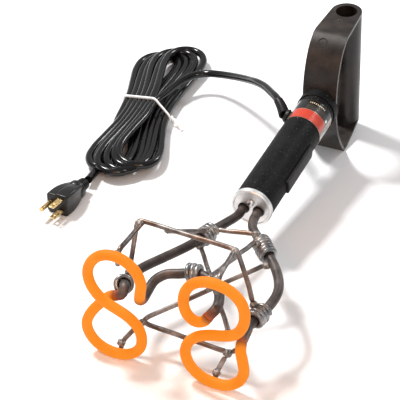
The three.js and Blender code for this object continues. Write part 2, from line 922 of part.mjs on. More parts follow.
function strapLine() {
  const bow = new THREE.CatmullRomCurve3([
    flat(HANDLE_CORNER, HANDLE_TOP - 0.8),
    flat(HANDLE_FRONT + 16.7, HANDLE_TOP - 9.8),
    flat(HANDLE_FRONT + 6.7, HANDLE_TOP - 26.8),
    flat(HANDLE_FRONT + 1.6, HANDLE_TOP - 44.8),
    flat(HANDLE_FRONT, 3),
    flat(HANDLE_FRONT + 1.3, HANDLE_BOTTOM + 56.8),
    flat(HANDLE_FRONT + 6.7, HANDLE_BOTTOM + 35.8),
    flat(HANDLE_FRONT + 16.2, HANDLE_BOTTOM + 16.8),
    flat(HANDLE_CORNER - 2, HANDLE_BOTTOM + 1.5),
  ], false, "centripetal").getPoints(28);
  const rear = GRIP_S + GRIP_R + 4;
  const line = [flat(rear, HANDLE_TOP), flat(HANDLE_CORNER + 5, HANDLE_TOP), ...bow];
  line.push(flat(HANDLE_CORNER + 4, HANDLE_BOTTOM + 1.6), flat(rear, HANDLE_BOTTOM + 9));
  return line;
}

function offsetLine(line, distance) {
  return line.map((point, i) => {
    const before = line[Math.max(i - 1, 0)];
    const after = line[Math.min(i + 1, line.length - 1)];
    const along = after.clone().sub(before).normalize();
    return new THREE.Vector2(point.x + along.y * distance, point.y - along.x * distance);
  });
}

// Shapes drawn as (s, h) outlines and given a width across the handle
function sideways(outline, halfWidth) {
  const geometry = slab(outline, -halfWidth, halfWidth);
  geometry.applyMatrix4(new THREE.Matrix4().set(
    0, 0, 1, 0,
    1, 0, 0, 0,
    0, 1, 0, 0,
    0, 0, 0, 1,
  ));
  return geometry;
}

function planOutline() {
  const half = HANDLE_WIDTH / 2;
  const front = HANDLE_FRONT - 17;
  const points = [new THREE.Vector2(-half, front), new THREE.Vector2(half, front)];
  points.push(new THREE.Vector2(half, HANDLE_CORNER + 8));
  for (let i = 0; i <= 16; i += 1) {
    const angle = 0.1 + ((Math.PI - 0.2) * i) / 16;
    const x = GRIP_R * Math.cos(angle);
    points.push(new THREE.Vector2(x, GRIP_S + GRIP_R * Math.sin(angle)));
  }
  points.push(new THREE.Vector2(-half, HANDLE_CORNER + 8));
  return points;
}

function behindStrap() {
  const front = offsetLine(strapLine(), HANDLE_SKIN / 2 + GAP).slice(8, 26);
  const rear = HANDLE_FRONT + 53;
  front.push(new THREE.Vector2(rear, -60), new THREE.Vector2(rear, 60));
  return sideways(front, 40);
}

function addHandle() {
  const line = strapLine();
  const outer = offsetLine(line, HANDLE_SKIN / 2);
  const inner = offsetLine(line, -HANDLE_SKIN / 2).reverse();
  const strap = sideways([...outer, ...inner], HANDLE_WIDTH / 2);
  const grip = rodAlong("z", GRIP_R, HANDLE_BOTTOM + 6, HANDLE_TOP, 32);
  grip.translate(0, GRIP_S, 0);
  const plan = slab(planOutline(), -90, 90);
  const bore = rodAlong("z", GRIP_BORE_R, -95, 95, 32);
  bore.translate(0, GRIP_S, 0);
  const collarEnd = HANDLE_FRONT + 22.7;
  const boltHole = rodAlong("y", 3.4, BARREL_END - 5, collarEnd, 20);
  const blank = common(joined(strap, grip), plan);
  add("d_handle", seat(cut(blank, bore, boltHole)), "satin");

  const collar = turned([
    [4, BARREL_END + GAP],
    [CAP_R + 0.3, BARREL_END + GAP],
    [CAP_R + 0.3, collarEnd],
    [4, collarEnd],
  ], 48);
  add("rear_collar", seat(cut(collar, behindStrap())), "black");

  const bolt = turned([
    [0, BARREL_END - 12],
    [3, BARREL_END - 12],
    [3, HANDLE_FRONT + 2.2],
    [6.5, HANDLE_FRONT + 2.2],
    [6.5, HANDLE_FRONT + 5],
    [5, HANDLE_FRONT + 6.4],
    [0, HANDLE_FRONT + 6.4],
  ], 24);
  add("handle_bolt", seat(bolt), "steel");
}

// Cord, its hank and the plug

function hankAxis() {
  return HANK_REAR.clone().sub(HANK_FRONT).normalize();
}

// The lead's last points run square to the hank's straight side
function besideHank(reach) {
  const along = hankAxis();
  const x = HANK_REAR.x + along.y * reach - along.x * 9;
  const y = HANK_REAR.y - along.x * reach - along.y * 9;
  return new THREE.Vector3(x, y, CORD_R + 1.6);
}

function addCordParts() {
  const start = exitPoint(EXIT_S, GLAND_OUTER + GAP);
  const next = exitPoint(EXIT_S, GLAND_OUTER + 5);
  const over = next.clone().add(new THREE.Vector3(-8.75, 13.9, 3.9));
  const down = next.clone().add(new THREE.Vector3(-19.75, 36.9, -3.6));
  const fall = new THREE.Vector3(-95, 431, 40);
  const knots = [
    next,
    over,
    down,
    down.clone().lerp(fall, 0.38),
    fall,
    ...vectors([[-131, 462, 22], [-149, 474, 12]]),
    besideHank(HANK_R + 16),
    besideHank(HANK_R + 6),
  ];
  const lead = new THREE.CatmullRomCurve3(knots, false, "centripetal").getSpacedPoints(24);
  lead.push(besideHank(HANK_R + GAP));
  lead[lead.length - 2] = besideHank(HANK_R + 6);
  addCord("cord_lead", swept([start, ...lead], CORD_R, 10), "cord");

  const along = hankAxis();
  const angle = Math.atan2(along.y, along.x);
  const outline = new THREE.Shape();
  outline.absarc(HANK_REAR.x, HANK_REAR.y, HANK_R, angle - Math.PI / 2, angle + Math.PI / 2, false);
  outline.absarc(HANK_FRONT.x, HANK_FRONT.y, HANK_R, angle + Math.PI / 2, angle + 1.5 * Math.PI, false);
  const hank = new THREE.ExtrudeGeometry(outline, {
    depth: HANK_TOP - HANK_BOTTOM,
    bevelEnabled: false,
    curveSegments: 14,
  });
  hank.translate(0, 0, HANK_BOTTOM);
  addCord("cord_hank", outward(hank), "cord");

  addTie(angle);
  addTail();
}

function addTie(angle) {
  const half = HANK_R + 0.5;
  const shape = box(-2, 2, -half - 1, half + 1, HANK_BOTTOM - 1.5, HANK_TOP + 1.5);
  const inside = box(-5, 5, -half, half, HANK_BOTTOM - 0.4, HANK_TOP + 0.4);
  const twist = rodAlong("y", 1.8, -half - 15, -half - 0.5, 8);
  twist.translate(0, 0, 12);
  const strap = joined(cut(shape, inside), twist);
  strap.rotateZ(angle);
  const middle = HANK_FRONT.clone().lerp(HANK_REAR, 0.42);
  strap.translate(middle.x, middle.y, 0);
  addCord("hank_tie", strap, "tie");
}

function onPlug(geometry) {
  geometry.rotateZ(PLUG_YAW);
  geometry.translate(PLUG_FACE.x, PLUG_FACE.y, PLUG_FACE.z);
  return geometry;
}

function plugPoint(x, y, z) {
  const point = new THREE.Vector3(x, y, z);
  point.applyAxisAngle(new THREE.Vector3(0, 0, 1), PLUG_YAW);
  return point.add(PLUG_FACE);
}

function addTail() {
  const end = plugPoint(0, PLUG_BODY + PLUG_RELIEF + GAP, -3);
  const out = plugPoint(0, PLUG_BODY + PLUG_RELIEF + 6, -3);
  const flatEnd = new THREE.Vector2(out.x, out.y);
  const meet = flatEnd.sub(HANK_FRONT).setLength(HANK_R + GAP + 0.2).add(HANK_FRONT);
  const start = new THREE.Vector3(meet.x, meet.y, 8);
  addCord("cord_tail", swept(rounded([start, out, end], 4, 3), CORD_R, 10), "cord");
}

function addPlug() {
  const w = PLUG_WIDTH / 2;
  const h = PLUG_HEIGHT / 2;
  const c = 5;
  const outline = [
    [-w + c, -h], [w - c, -h], [w, -h + c], [w, h - c],
    [w - c, h], [-w + c, h], [-w, h - c], [-w, -h + c],
  ].map(([x, z]) => new THREE.Vector2(x, z));
  const block = slab(outline, 0, PLUG_BODY);
  block.rotateX(-Math.PI / 2);
  block.scale(1, 1, -1);
  const relief = turned([
    [0, PLUG_BODY - 1],
    [9.5, PLUG_BODY - 1],
    [5.6, PLUG_BODY + PLUG_RELIEF],
    [0, PLUG_BODY + PLUG_RELIEF],
  ], 24);
  relief.translate(0, 0, -3);
  addCord("plug_body", onPlug(joined(outward(block), relief)), "black");

  [["upper", 6.35], ["lower", -6.35]].forEach(([name, z]) => {
    const blade = box(2, 8.3, -16.5, -GAP, z - 0.75, z + 0.75);
    const eye = rodAlong("z", 1.6, z - 2, z + 2, 16);
    eye.translate(5.15, -12.5, 0);
    addCord(`plug_blade_${name}`, onPlug(cut(blade, eye)), "brass");
  });
  const pin = turned([[0, -18.5], [1.2, -18.5], [2.35, -16.8], [2.35, -GAP], [0, -GAP]], 16);
  pin.translate(-6.8, 0, 0);
  addCord("plug_ground_pin", onPlug(pin), "brass");
}

function settle() {
  const bounds = new THREE.Box3();
  object.children.filter((mesh) => !cordNodes.has(mesh.name)).forEach((mesh) => {
    bounds.expandByObject(mesh, true);
  });
  const shift = bounds.getCenter(new THREE.Vector3());
  object.children.forEach((mesh) => {
    mesh.geometry.translate(-shift.x, -shift.y, -bounds.min.z);
  });
}

addSheath();
addCoils();
addUpperStays();
addTies();
addLowerStays();
addEndCap();
addTerminals();
addBarrel();
addLabel();
addRearPlug();
addCarrier();
addTrigger();
addSwitch();
addSpring();
addLeads();
addGland();
addHandle();
addCordParts();
addPlug();
settle();

export default object;
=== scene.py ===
import json
import math

import bmesh
import bpy
from mathutils import Matrix, Quaternion, Vector, noise


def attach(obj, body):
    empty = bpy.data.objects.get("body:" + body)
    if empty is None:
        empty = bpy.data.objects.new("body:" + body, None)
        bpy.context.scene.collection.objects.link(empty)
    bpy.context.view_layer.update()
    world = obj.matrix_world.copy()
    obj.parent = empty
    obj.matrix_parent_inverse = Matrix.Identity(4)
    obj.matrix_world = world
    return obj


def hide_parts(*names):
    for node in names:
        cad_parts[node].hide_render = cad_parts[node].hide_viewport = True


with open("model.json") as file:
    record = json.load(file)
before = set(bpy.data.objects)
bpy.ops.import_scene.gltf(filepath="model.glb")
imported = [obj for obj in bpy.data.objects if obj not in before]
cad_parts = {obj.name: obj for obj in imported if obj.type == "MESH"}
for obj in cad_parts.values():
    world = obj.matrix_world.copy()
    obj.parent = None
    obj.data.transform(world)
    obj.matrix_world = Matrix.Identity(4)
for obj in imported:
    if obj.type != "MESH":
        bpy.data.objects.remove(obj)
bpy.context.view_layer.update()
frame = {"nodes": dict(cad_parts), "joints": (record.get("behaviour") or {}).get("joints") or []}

# Electric stock-marking iron. Tables of points are in millimetres, measured from the drawing's
# own zero: the hot figures stand in the plane y = 0 on the floor z = 0. DRAWING_ZERO puts that
# zero in the row frame, in metres, from the trigger's pivot.

MM = 0.001

hinge = next(j for j in frame["joints"] if j["name"] == "trigger_press")
ACROSS = Vector((1, 0, 0))
UP = Vector(hinge["axis"])
ALONG = Vector((0, UP.z, -UP.y))
PIVOT_X, PIVOT_S = 11, 47
CAP = Vector(hinge["pos_m"]) - (ACROSS * PIVOT_X + ALONG * PIVOT_S) * MM
DRAWING_ZERO = CAP - Vector((0, 190, 49)) * MM
TILT = math.asin(ALONG.z)

SHEATH_R = 4.35
HOT_R = 4.65
WIRE_R = 2.2
CORD_R = 4.2
FIGURE_MID_X = 1.5
FIGURE_SPACING = 93
LEFT_X = FIGURE_MID_X - FIGURE_SPACING / 2
RIGHT_X = FIGURE_MID_X + FIGURE_SPACING / 2
FIGURE_TOP = 106


def drawn(point):
    return DRAWING_ZERO + Vector(point) * MM


def on_barrel(x, s, h):
    return CAP + (ACROSS * x + ALONG * s + UP * h) * MM


BARREL_FRAME = Matrix.Translation(CAP) @ Matrix.Rotation(TILT, 4, "X") @ Matrix.Scale(MM, 4)


# ---------------------------------------------------------------- material maths


class Value:
    """A node's output that can be used in sums."""

    def __init__(self, finish, socket):
        self.finish = finish
        self.socket = socket

    def combine(self, operation, *values):
        return self.finish.node("ShaderNodeMath", {"operation": operation}, dict(enumerate(values)))

    def __add__(self, other):
        return self.combine("ADD", self, other)

    __radd__ = __add__

    def __sub__(self, other):
        return self.combine("SUBTRACT", self, other)

    def __rsub__(self, other):
        return self.combine("SUBTRACT", other, self)

    def __mul__(self, other):
        return self.combine("MULTIPLY", self, other)

    __rmul__ = __mul__

    def __truediv__(self, other):
        return self.combine("DIVIDE", self, other)

    def __rtruediv__(self, other):
        return self.combine("DIVIDE", other, self)

    def __pow__(self, other):
        return self.combine("POWER", self, other)

    def above(self, level):
        return self.combine("GREATER_THAN", self, level)

    def below(self, level):
        return self.combine("LESS_THAN", self, level)

    def between(self, low, high):
        return self.above(low) * self.below(high)


class Finish:
    """One procedural material on the Principled shader. Constants go straight on its sockets."""

    def __init__(self, name, **constants):
        self.material = bpy.data.materials.new(name)
        self.material.use_nodes = True
        self.nodes = self.material.node_tree.nodes
        self.links = self.material.node_tree.links
        self.shader = self.nodes["Principled BSDF"]
        for key, value in constants.items():
            label = key.replace("_", " ").title().replace("Ior", "IOR")
            self.shader.inputs[label].default_value = value

    def node(self, kind, settings=None, inputs=None, output=0):
        made = self.nodes.new(kind)
        for key, value in (settings or {}).items():
            if key == "stops":
                ramp = made.color_ramp
                while len(ramp.elements) < len(value):
                    ramp.elements.new(0.5)
                for element, (place, color) in zip(ramp.elements, value):
                    element.position = place
                    element.color = (*color, 1) if len(color) == 3 else color
            else:
                setattr(made, key, value)
        for key, value in (inputs or {}).items():
            self.feed(made.inputs[key], value)
        return Value(self, made.outputs[output])

    def feed(self, socket, value):
        if isinstance(value, Value):
            self.links.new(value.socket, socket)
        else:
            socket.default_value = value

    def set(self, name, value):
        self.feed(self.shader.inputs[name], value)

    def coords(self):
        return self.node("ShaderNodeTexCoord", output="Object")

    def mapped(self, location=(0, 0, 0), rotation=(0, 0, 0), scale=(1, 1, 1)):
        inputs = {"Vector": self.coords(), "Location": location, "Rotation": rotation, "Scale": scale}
        return self.node("ShaderNodeMapping", {"vector_type": "TEXTURE"}, inputs)

    def split(self, vector):
        made = self.nodes.new("ShaderNodeSeparateXYZ")
        self.links.new(vector.socket, made.inputs[0])
        return [Value(self, out) for out in made.outputs]

    def grain(self, scale, detail=3, roughness=0.55, vector=None, distortion=0.0):
        inputs = {
            "Vector": vector or self.coords(), "Scale": scale, "Detail": detail,
            "Roughness": roughness, "Distortion": distortion,
        }
        return self.node("ShaderNodeTexNoise", {}, inputs)

    def ramp(self, factor, stops):
        return self.node("ShaderNodeValToRGB", {"stops": stops}, {"Fac": factor})

    def remap(self, value, low, high, to_low, to_high):
        inputs = {0: value, 1: low, 2: high, 3: to_low, 4: to_high}
        return self.node("ShaderNodeMapRange", {"clamp": True}, inputs)

    def mix(self, factor, a, b, blend="MIX"):
        settings = {"data_type": "RGBA", "blend_type": blend}
        pair = [(*c, 1) if isinstance(c, tuple) and len(c) == 3 else c for c in (a, b)]
        return self.node("ShaderNodeMix", settings, {0: factor, 6: pair[0], 7: pair[1]}, 2)

    def attribute(self, name):
        return self.node("ShaderNodeAttribute", {"attribute_name": name}, output="Fac")

    def bump(self, height, strength=0.3, distance=0.0003):
        inputs = {"Height": height, "Strength": strength, "Distance": distance}
        self.set("Normal", self.node("ShaderNodeBump", {}, inputs))


def oxidised_sheath():
    f = Finish("oxidised_sheath", metallic=0.55, specular_ior_level=0.4)
    patch = f.grain(55, 4, 0.6)
    fine = f.grain(420, 4, 0.6)
    scale = [(0.3, (0.035, 0.03, 0.03)), (0.5, (0.075, 0.062, 0.058)), (0.7, (0.15, 0.125, 0.115))]
    dark = f.ramp(patch, scale)
    near_heat = f.remap(f.attribute("glow_share"), 0.0, 1.0, 0.0, 1.0)
    tinted = f.mix(near_heat * 0.75, dark, (0.16, 0.06, 0.03))
    f.set("Base Color", f.mix(fine * 0.35, tinted, (0.02, 0.018, 0.018)))
    f.set("Roughness", f.remap(patch + fine * 0.4, 0.4, 1.0, 0.38, 0.62))
    f.set("Emission Color", f.mix(near_heat ** 3, (0, 0, 0), (0.5, 0.06, 0.0)))
    f.shader.inputs["Emission Strength"].default_value = 0.8
    f.bump(fine, 0.25, 0.0004)
    return f.material


def glowing_sheath():
    f = Finish("glowing_sheath", roughness=0.6, specular_ior_level=0.12)
    patch = f.grain(45, 3, 0.5)
    heat = f.attribute("glow_share")
    core = f.mix(f.remap(patch, 0.3, 0.7, 0.0, 1.0), (0.9, 0.235, 0.006), (0.96, 0.29, 0.018))
    f.set("Base Color", f.mix(heat, (0.09, 0.045, 0.03), (0.2, 0.055, 0.006)))
    f.set("Emission Color", f.mix(heat ** 1.5, (0.12, 0.012, 0.0), core))
    f.shader.inputs["Emission Strength"].default_value = 0.8
    f.bump(f.grain(500, 3), 0.1, 0.0003)
    return f.material


def drawn_wire(name, shades, tint):
    """Steel wire, unevenly darkened and tinted brown by the heat."""
    f = Finish(name, metallic=0.85)
    patch = f.grain(70, 4, 0.6)
    fine = f.grain(900, 3, 0.6)
    steel = f.ramp(patch, [(0.3, shades[0]), (0.5, shades[1]), (0.72, shades[2])])
    warm = f.remap(f.grain(28, 2, 0.5), 0.42, 0.62, 0.0, tint)
    f.set("Base Color", f.mix(warm, steel, (0.19, 0.115, 0.08)))
    f.set("Roughness", f.remap(patch + fine * 0.3, 0.4, 0.95, 0.26, 0.5))
    f.bump(fine, 0.18, 0.0002)
    return f.material


def weld_metal():
    f = Finish("weld_metal", metallic=0.75)
    lump = f.grain(480, 4, 0.6)
    f.set("Base Color", f.ramp(lump, [(0.35, (0.09, 0.08, 0.075)), (0.6, (0.34, 0.32, 0.3))]))
    f.set("Roughness", f.remap(lump, 0.3, 0.7, 0.4, 0.7))
    f.bump(lump, 0.5, 0.0006)
    return f.material


def cast_aluminium():
    f = Finish("cast_aluminium", metallic=0.85)
    grain = f.grain(900, 5, 0.65)
    patch = f.grain(90, 3, 0.5)
    f.set("Base Color", f.ramp(patch, [(0.3, (0.55, 0.555, 0.56)), (0.7, (0.78, 0.78, 0.785))]))
    f.set("Roughness", f.remap(grain, 0.3, 0.7, 0.3, 0.48))
    f.bump(grain, 0.35, 0.0004)
    return f.material


def bright_steel():
    f = Finish("bright_steel", metallic=1.0)
    grain = f.grain(700, 4, 0.6)
    f.set("Base Color", f.ramp(grain, [(0.3, (0.5, 0.5, 0.51)), (0.7, (0.68, 0.68, 0.69))]))
    f.set("Roughness", f.remap(grain, 0.3, 0.7, 0.22, 0.4))
    f.bump(grain, 0.12, 0.0002)
    return f.material


def unglazed_ceramic():
    f = Finish("unglazed_ceramic", specular_ior_level=0.3)
    grain = f.grain(800, 5, 0.7)
    f.set("Base Color", f.ramp(grain, [(0.3, (0.74, 0.7, 0.62)), (0.7, (0.86, 0.83, 0.76))]))
    f.set("Roughness", f.remap(grain, 0.3, 0.7, 0.7, 0.9))
    f.bump(grain, 0.3, 0.0003)
    return f.material


def moulded(name, dark, light, rough=(0.4, 0.55), scale=1100, strength=0.2, sheen=0.3, dust=0.0):
    """Moulded plastic: two close shades, an uneven sheen and a fine texture."""
    f = Finish(name, specular_ior_level=sheen)
    patch = f.grain(38, 4, 0.6)
    fine = f.grain(scale, 3, 0.6)
    shade = f.mix(f.remap(patch, 0.35, 0.65, 0, 1), dark, light)
    specks = f.remap(f.grain(620, 2, 0.5), 0.64, 0.72, 0.0, dust)
    f.set("Base Color", f.mix(specks, shade, (0.5, 0.48, 0.46)))
    f.set("Roughness", f.remap(patch + fine * 0.5, 0.5, 1.0, *rough))
    f.bump(fine, strength, 0.0003)
    return f.material


def plain_brass():
    f = Finish("plain_brass", metallic=1.0)
    grain = f.grain(500, 4, 0.6)
    f.set("Base Color", f.ramp(grain, [(0.3, (0.6, 0.4, 0.16)), (0.7, (0.84, 0.62, 0.3))]))
    f.set("Roughness", f.remap(grain, 0.3, 0.7, 0.2, 0.42))
    f.bump(grain, 0.12, 0.0002)
    return f.material


def cord_jacket():
    f = Finish("cord_jacket", specular_ior_level=0.36)
    patch = f.grain(60, 3, 0.5)
    fine = f.grain(900, 3, 0.6)
    f.set("Base Color", f.mix(patch, (0.0015, 0.0015, 0.0018), (0.006, 0.005, 0.005)))
    f.set("Roughness", f.remap(patch + fine * 0.3, 0.4, 0.9, 0.13, 0.24))
    f.bump(fine, 0.04, 0.0002)
    return f.material


def label_film():
    """Foil label under clear film: a red band, a dark panel and a pale box round the barrel.
    s runs along the barrel in millimetres and turn round it in degrees, 90 at the top."""
    f = Finish("label_film", coat_weight=0.3, coat_roughness=0.08, specular_ior_level=0.3)
    local = f.mapped(location=tuple(CAP), rotation=(TILT, 0, 0))
    x, s, h = f.split(local)
    s = s * 1000
    turn = f.node("ShaderNodeMath", {"operation": "ARCTAN2"}, {0: h, 1: x}) * (180 / math.pi)
    shade = f.grain(60, 3, 0.5)
    black = f.mix(shade, (0.004, 0.004, 0.004), (0.014, 0.012, 0.011))
    red = f.mix(shade, (0.42, 0.03, 0.014), (0.56, 0.06, 0.028))
    edge = f.mix(shade, (0.2, 0.17, 0.15), (0.42, 0.36, 0.31))
    band = s.between(126.7, 141.0) * turn.between(12, 128)
    border = 1 - s.between(126.4, 158.0) * turn.between(9, 131)
    color = f.mix(band, black, red)
    line = s.between(141.0, 141.7) * turn.between(12, 128)
    color = f.mix(line, color, edge)
    box = s.between(143.4, 147.2) * turn.between(14, 22)
    color = f.mix(box, color, (0.75, 0.74, 0.72))
    dash = f.node("ShaderNodeMath", {"operation": "SINE"}, {0: turn * 1.05})
    row = s.between(152.2, 154.2) * turn.between(42, 92) * dash.above(-0.25)
    color = f.mix(row * 0.8, color, (0.72, 0.6, 0.42))
    fine_dash = f.node("ShaderNodeMath", {"operation": "SINE"}, {0: s * 3.6})
    lines = s.between(143.0, 150.4) * turn.between(26, 96) * fine_dash.above(0.45)
    color = f.mix(lines * 0.22, color, (0.4, 0.32, 0.24))
    color = f.mix(border, color, edge)
    f.set("Base Color", color)
    f.set("Metallic", f.remap(border + line, 0, 1, 0.0, 0.6))
    f.set("Roughness", f.remap(shade, 0.3, 0.7, 0.2, 0.32))
    f.bump(f.grain(220, 2, 0.5), 0.2, 0.0004)
    return f.material


def tie_film():
    f = Finish("tie_film", specular_ior_level=0.5)
    grain = f.grain(400, 3, 0.6)
    f.set("Base Color", f.ramp(grain, [(0.3, (0.82, 0.82, 0.81)), (0.7, (0.95, 0.95, 0.94))]))
    f.set("Roughness", f.remap(grain, 0.3, 0.7, 0.35, 0.55))
    f.bump(grain, 0.3, 0.0003)
    return f.material


def studio_floor():
    f = Finish("studio_floor", specular_ior_level=0.25)
    cloud = f.grain(1.6, 3, 0.5)
    f.set("Base Color", f.mix(cloud, (0.8, 0.81, 0.83), (0.88, 0.885, 0.895)))
    f.set("Roughness", f.remap(cloud, 0.3, 0.7, 0.55, 0.7))
    return f.material


SHEATH = oxidised_sheath()
HOT = glowing_sheath()
WIRE = drawn_wire("stay_wire", [(0.045, 0.04, 0.038), (0.14, 0.127, 0.122), (0.42, 0.4, 0.39)], 0.7)
WRAP = drawn_wire("wrap_wire", [(0.06, 0.063, 0.068), (0.2, 0.207, 0.215), (0.46, 0.47, 0.48)], 0.3)
WELD = weld_metal()
CAST = cast_aluminium()
STEEL = bright_steel()
CERAMIC = unglazed_ceramic()
BRASS = plain_brass()
JACKET = cord_jacket()
LABEL = label_film()
TIE = tie_film()
BARREL = moulded(
    "barrel_black", (0.002, 0.002, 0.0025), (0.007, 0.007, 0.007), (0.45, 0.62),
    scale=1500, strength=0.3, sheen=0.1, dust=0.1,
)
CARRIER = moulded("carrier_moulding", (0.6, 0.56, 0.5), (0.76, 0.72, 0.66))
TRIGGER = moulded(
    "trigger_black", (0.004, 0.004, 0.004), (0.012, 0.011, 0.011), (0.38, 0.5),
    scale=1500, sheen=0.2,
)
SWITCH = moulded("switch_black", (0.02, 0.02, 0.02), (0.045, 0.044, 0.043))
SLEEVE = moulded("lead_sleeve", (0.33, 0.08, 0.06), (0.47, 0.14, 0.1))
GLAND = moulded(
    "gland_rubber", (0.004, 0.004, 0.004), (0.012, 0.011, 0.01), (0.35, 0.5), sheen=0.25,
)
PLUG = moulded(
    "plug_moulding", (0.004, 0.004, 0.004), (0.013, 0.012, 0.011), (0.26, 0.42),
    strength=0.15, sheen=0.32,
)
HANDLE = moulded(
    "handle_moulding", (0.007, 0.005, 0.0045), (0.03, 0.021, 0.017), (0.26, 0.5),
    scale=1300, strength=0.18, sheen=0.36, dust=0.03,
)


# ---------------------------------------------------------------- shapes


def piece(name, mesh, material, body, stands_for=(), sharp=32):
    """Makes the finished object, smooth apart from its sharp edges, and rides it on its body."""
    mesh.name = name
    mesh.materials.clear()
    mesh.materials.append(material)
    for polygon in mesh.polygons:
        polygon.use_smooth = True
    mesh.set_sharp_from_angle(angle=math.radians(sharp))
    obj = bpy.data.objects.new(name, mesh)
    bpy.context.scene.collection.objects.link(obj)
    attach(obj, body)
    if stands_for:
        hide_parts(*stands_for)
    return obj


def to_mesh(bm):
    bmesh.ops.recalc_face_normals(bm, faces=bm.faces)
    mesh = bpy.data.meshes.new("shape")
    bm.to_mesh(mesh)
    bm.free()
    return mesh


def smooth_route(knots, step):
    """Even points, step millimetres apart, on a centripetal curve through the knots."""
    ends = [2 * knots[0] - knots[1], *knots, 2 * knots[-1] - knots[-2]]
    fine = []
    for p0, p1, p2, p3 in zip(ends, ends[1:], ends[2:], ends[3:]):
        t1 = (p1 - p0).length ** 0.5
        t2 = t1 + (p2 - p1).length ** 0.5
        t3 = t2 + (p3 - p2).length ** 0.5
        for i in range(12):
            t = t1 + (t2 - t1) * i / 12
            a1 = p0.lerp(p1, t / t1)
            a2 = p1.lerp(p2, (t - t1) / (t2 - t1))
            a3 = p2.lerp(p3, (t - t2) / (t3 - t2))
            b1 = a1.lerp(a2, t / t2)
            b2 = a2.lerp(a3, (t - t1) / (t3 - t1))
            fine.append(b1.lerp(b2, (t - t1) / (t2 - t1)))
    fine.append(knots[-1])
    return even(fine, step * MM)


def even(points, step):
    """The same line with its points about step metres apart."""
    places = [0.0]
    for a, b in zip(points, points[1:]):
        places.append(places[-1] + (b - a).length)
    count = max(2, round(places[-1] / step))
    spaced, i = [], 0
    for k in range(count + 1):
        want = places[-1] * k / count
        while i < len(points) - 2 and places[i + 1] < want:
            i += 1
        run = places[i + 1] - places[i]
        spaced.append(points[i].lerp(points[i + 1], (want - places[i]) / run if run else 0))
    return spaced


def bent(corners, bend):
    """Straight lengths with their corners rounded to about the given bend, in millimetres."""
    points = [corners[0]]
    for before, here, after in zip(corners, corners[1:], corners[2:]):
        reach = min(bend * MM, 0.45 * (before - here).length, 0.45 * (after - here).length)
        start = here + (before - here).normalized() * reach
        end = here + (after - here).normalized() * reach
        for i in range(9):
            t = i / 8
            points.append(start.lerp(here, t).lerp(here.lerp(end, t), t))
    points.append(corners[-1])
    return points


def tube(points, radius, sides, layers=None, flat=None, closed=False):
    """A tube swept along the points. radius is one number or one for each point, in metres.
    layers holds named numbers, one for each point, that materials read.
    flat = (across, thick) squashes the section."""
    count = len(points)
    radii = radius if isinstance(radius, list) else [radius] * count
    bm = bmesh.new()
    made = {name: bm.verts.layers.float.new(name) for name in (layers or {})}
    tangents = []
    for i in range(count):
        a = points[i - 1] if (i > 0 or closed) else points[0]
        b = points[(i + 1) % count] if (i < count - 1 or closed) else points[-1]
        tangents.append((b - a).normalized())
    turn = Vector((0, 0, 1)).rotation_difference(tangents[0])
    section = Matrix.Diagonal((*(flat or (1, 1)), 1, 1))
    ring = bmesh.ops.create_circle(bm, segments=sides, radius=1.0)["verts"]
    shape = [section @ v.co for v in ring]
    edges = list(bm.edges)
    first_edges = list(edges)
    for i in range(count):
        if i:
            turn = tangents[i - 1].rotation_difference(tangents[i]) @ turn
            found = bmesh.ops.extrude_edge_only(bm, edges=edges)["geom"]
            edges = [g for g in found if isinstance(g, bmesh.types.BMEdge)]
            ring = sort_ring(ring, found)
        for v, co in zip(ring, shape):
            v.co = points[i] + turn @ (co * radii[i])
            for name, layer in made.items():
                v[layer] = layers[name][i]
    if closed:
        bmesh.ops.bridge_loops(bm, edges=edges + first_edges)
    else:
        bmesh.ops.holes_fill(bm, edges=[e for e in bm.edges if e.is_boundary], sides=0)
    return bm


def sort_ring(before, found):
    """The extruded ring's corners in the order of the ring they came from."""
    fresh = {g for g in found if isinstance(g, bmesh.types.BMVert)}
    ordered = []
    for v in before:
        ordered.append(next(e.other_vert(v) for e in v.link_edges if e.other_vert(v) in fresh))
    return ordered


def turned(profile, segments=48):
    """A solid turned about the y axis from (radius, y) points in millimetres."""
    bm = bmesh.new()
    corners = [bm.verts.new((r, y, 0)) for r, y in profile]
    edges = [bm.edges.new(pair) for pair in zip(corners, corners[1:])]
    bmesh.ops.spin(
        bm, geom=corners + edges, cent=(0, 0, 0), axis=(0, 1, 0), dvec=(0, 0, 0),
        angle=2 * math.pi, steps=segments, use_merge=True, use_duplicate=False,
    )
    bmesh.ops.remove_doubles(bm, verts=bm.verts, dist=1e-4)
    bmesh.ops.holes_fill(bm, edges=[e for e in bm.edges if e.is_boundary], sides=0)
    return bm


def placed(bm, matrix):
    bmesh.ops.transform(bm, matrix=matrix, verts=bm.verts)
    return bm


def merged_copy(node):
    """A node's mesh with its loose triangles joined and its flat faces made whole."""
    bm = bmesh.new()
    bm.from_mesh(frame["nodes"][node].data)
    bmesh.ops.remove_doubles(bm, verts=bm.verts, dist=2e-6)
    bmesh.ops.dissolve_limit(
        bm, angle_limit=math.radians(1.2), verts=bm.verts, edges=bm.edges, delimit=set(),
    )
    return bm


def softened(name, node, material, body, width, limit=35, segments=3, sharp=32):
    """A node's own shape with its sharp edges rounded."""
    mesh = to_mesh(merged_copy(node))
    obj = piece(name, mesh, material, body, [node], sharp)
    rounding = obj.modifiers.new("rounded edges", "BEVEL")
    rounding.width = width * MM
    rounding.segments = segments
    rounding.limit_method = "ANGLE"
    rounding.angle_limit = math.radians(limit)
    rounding.harden_normals = False
    rounding.use_clamp_overlap = True
    return obj


# ---------------------------------------------------------------- cord, hank, tie

CORD_STEP = 3.5
HANK_FRONT = Vector((-181, 286, 0))
HANK_REAR = Vector((-221, 481, 0))
hank_run = (HANK_REAR - HANK_FRONT).normalized()
hank_side = Vector((hank_run.y, -hank_run.x, 0))
HANK_WAIST = 97
HANK_TURNS = 6
POINTS_PER_TURN = 24
WAIST_HALF = 9
LOBE_HALF = 37
PILE = 9.5
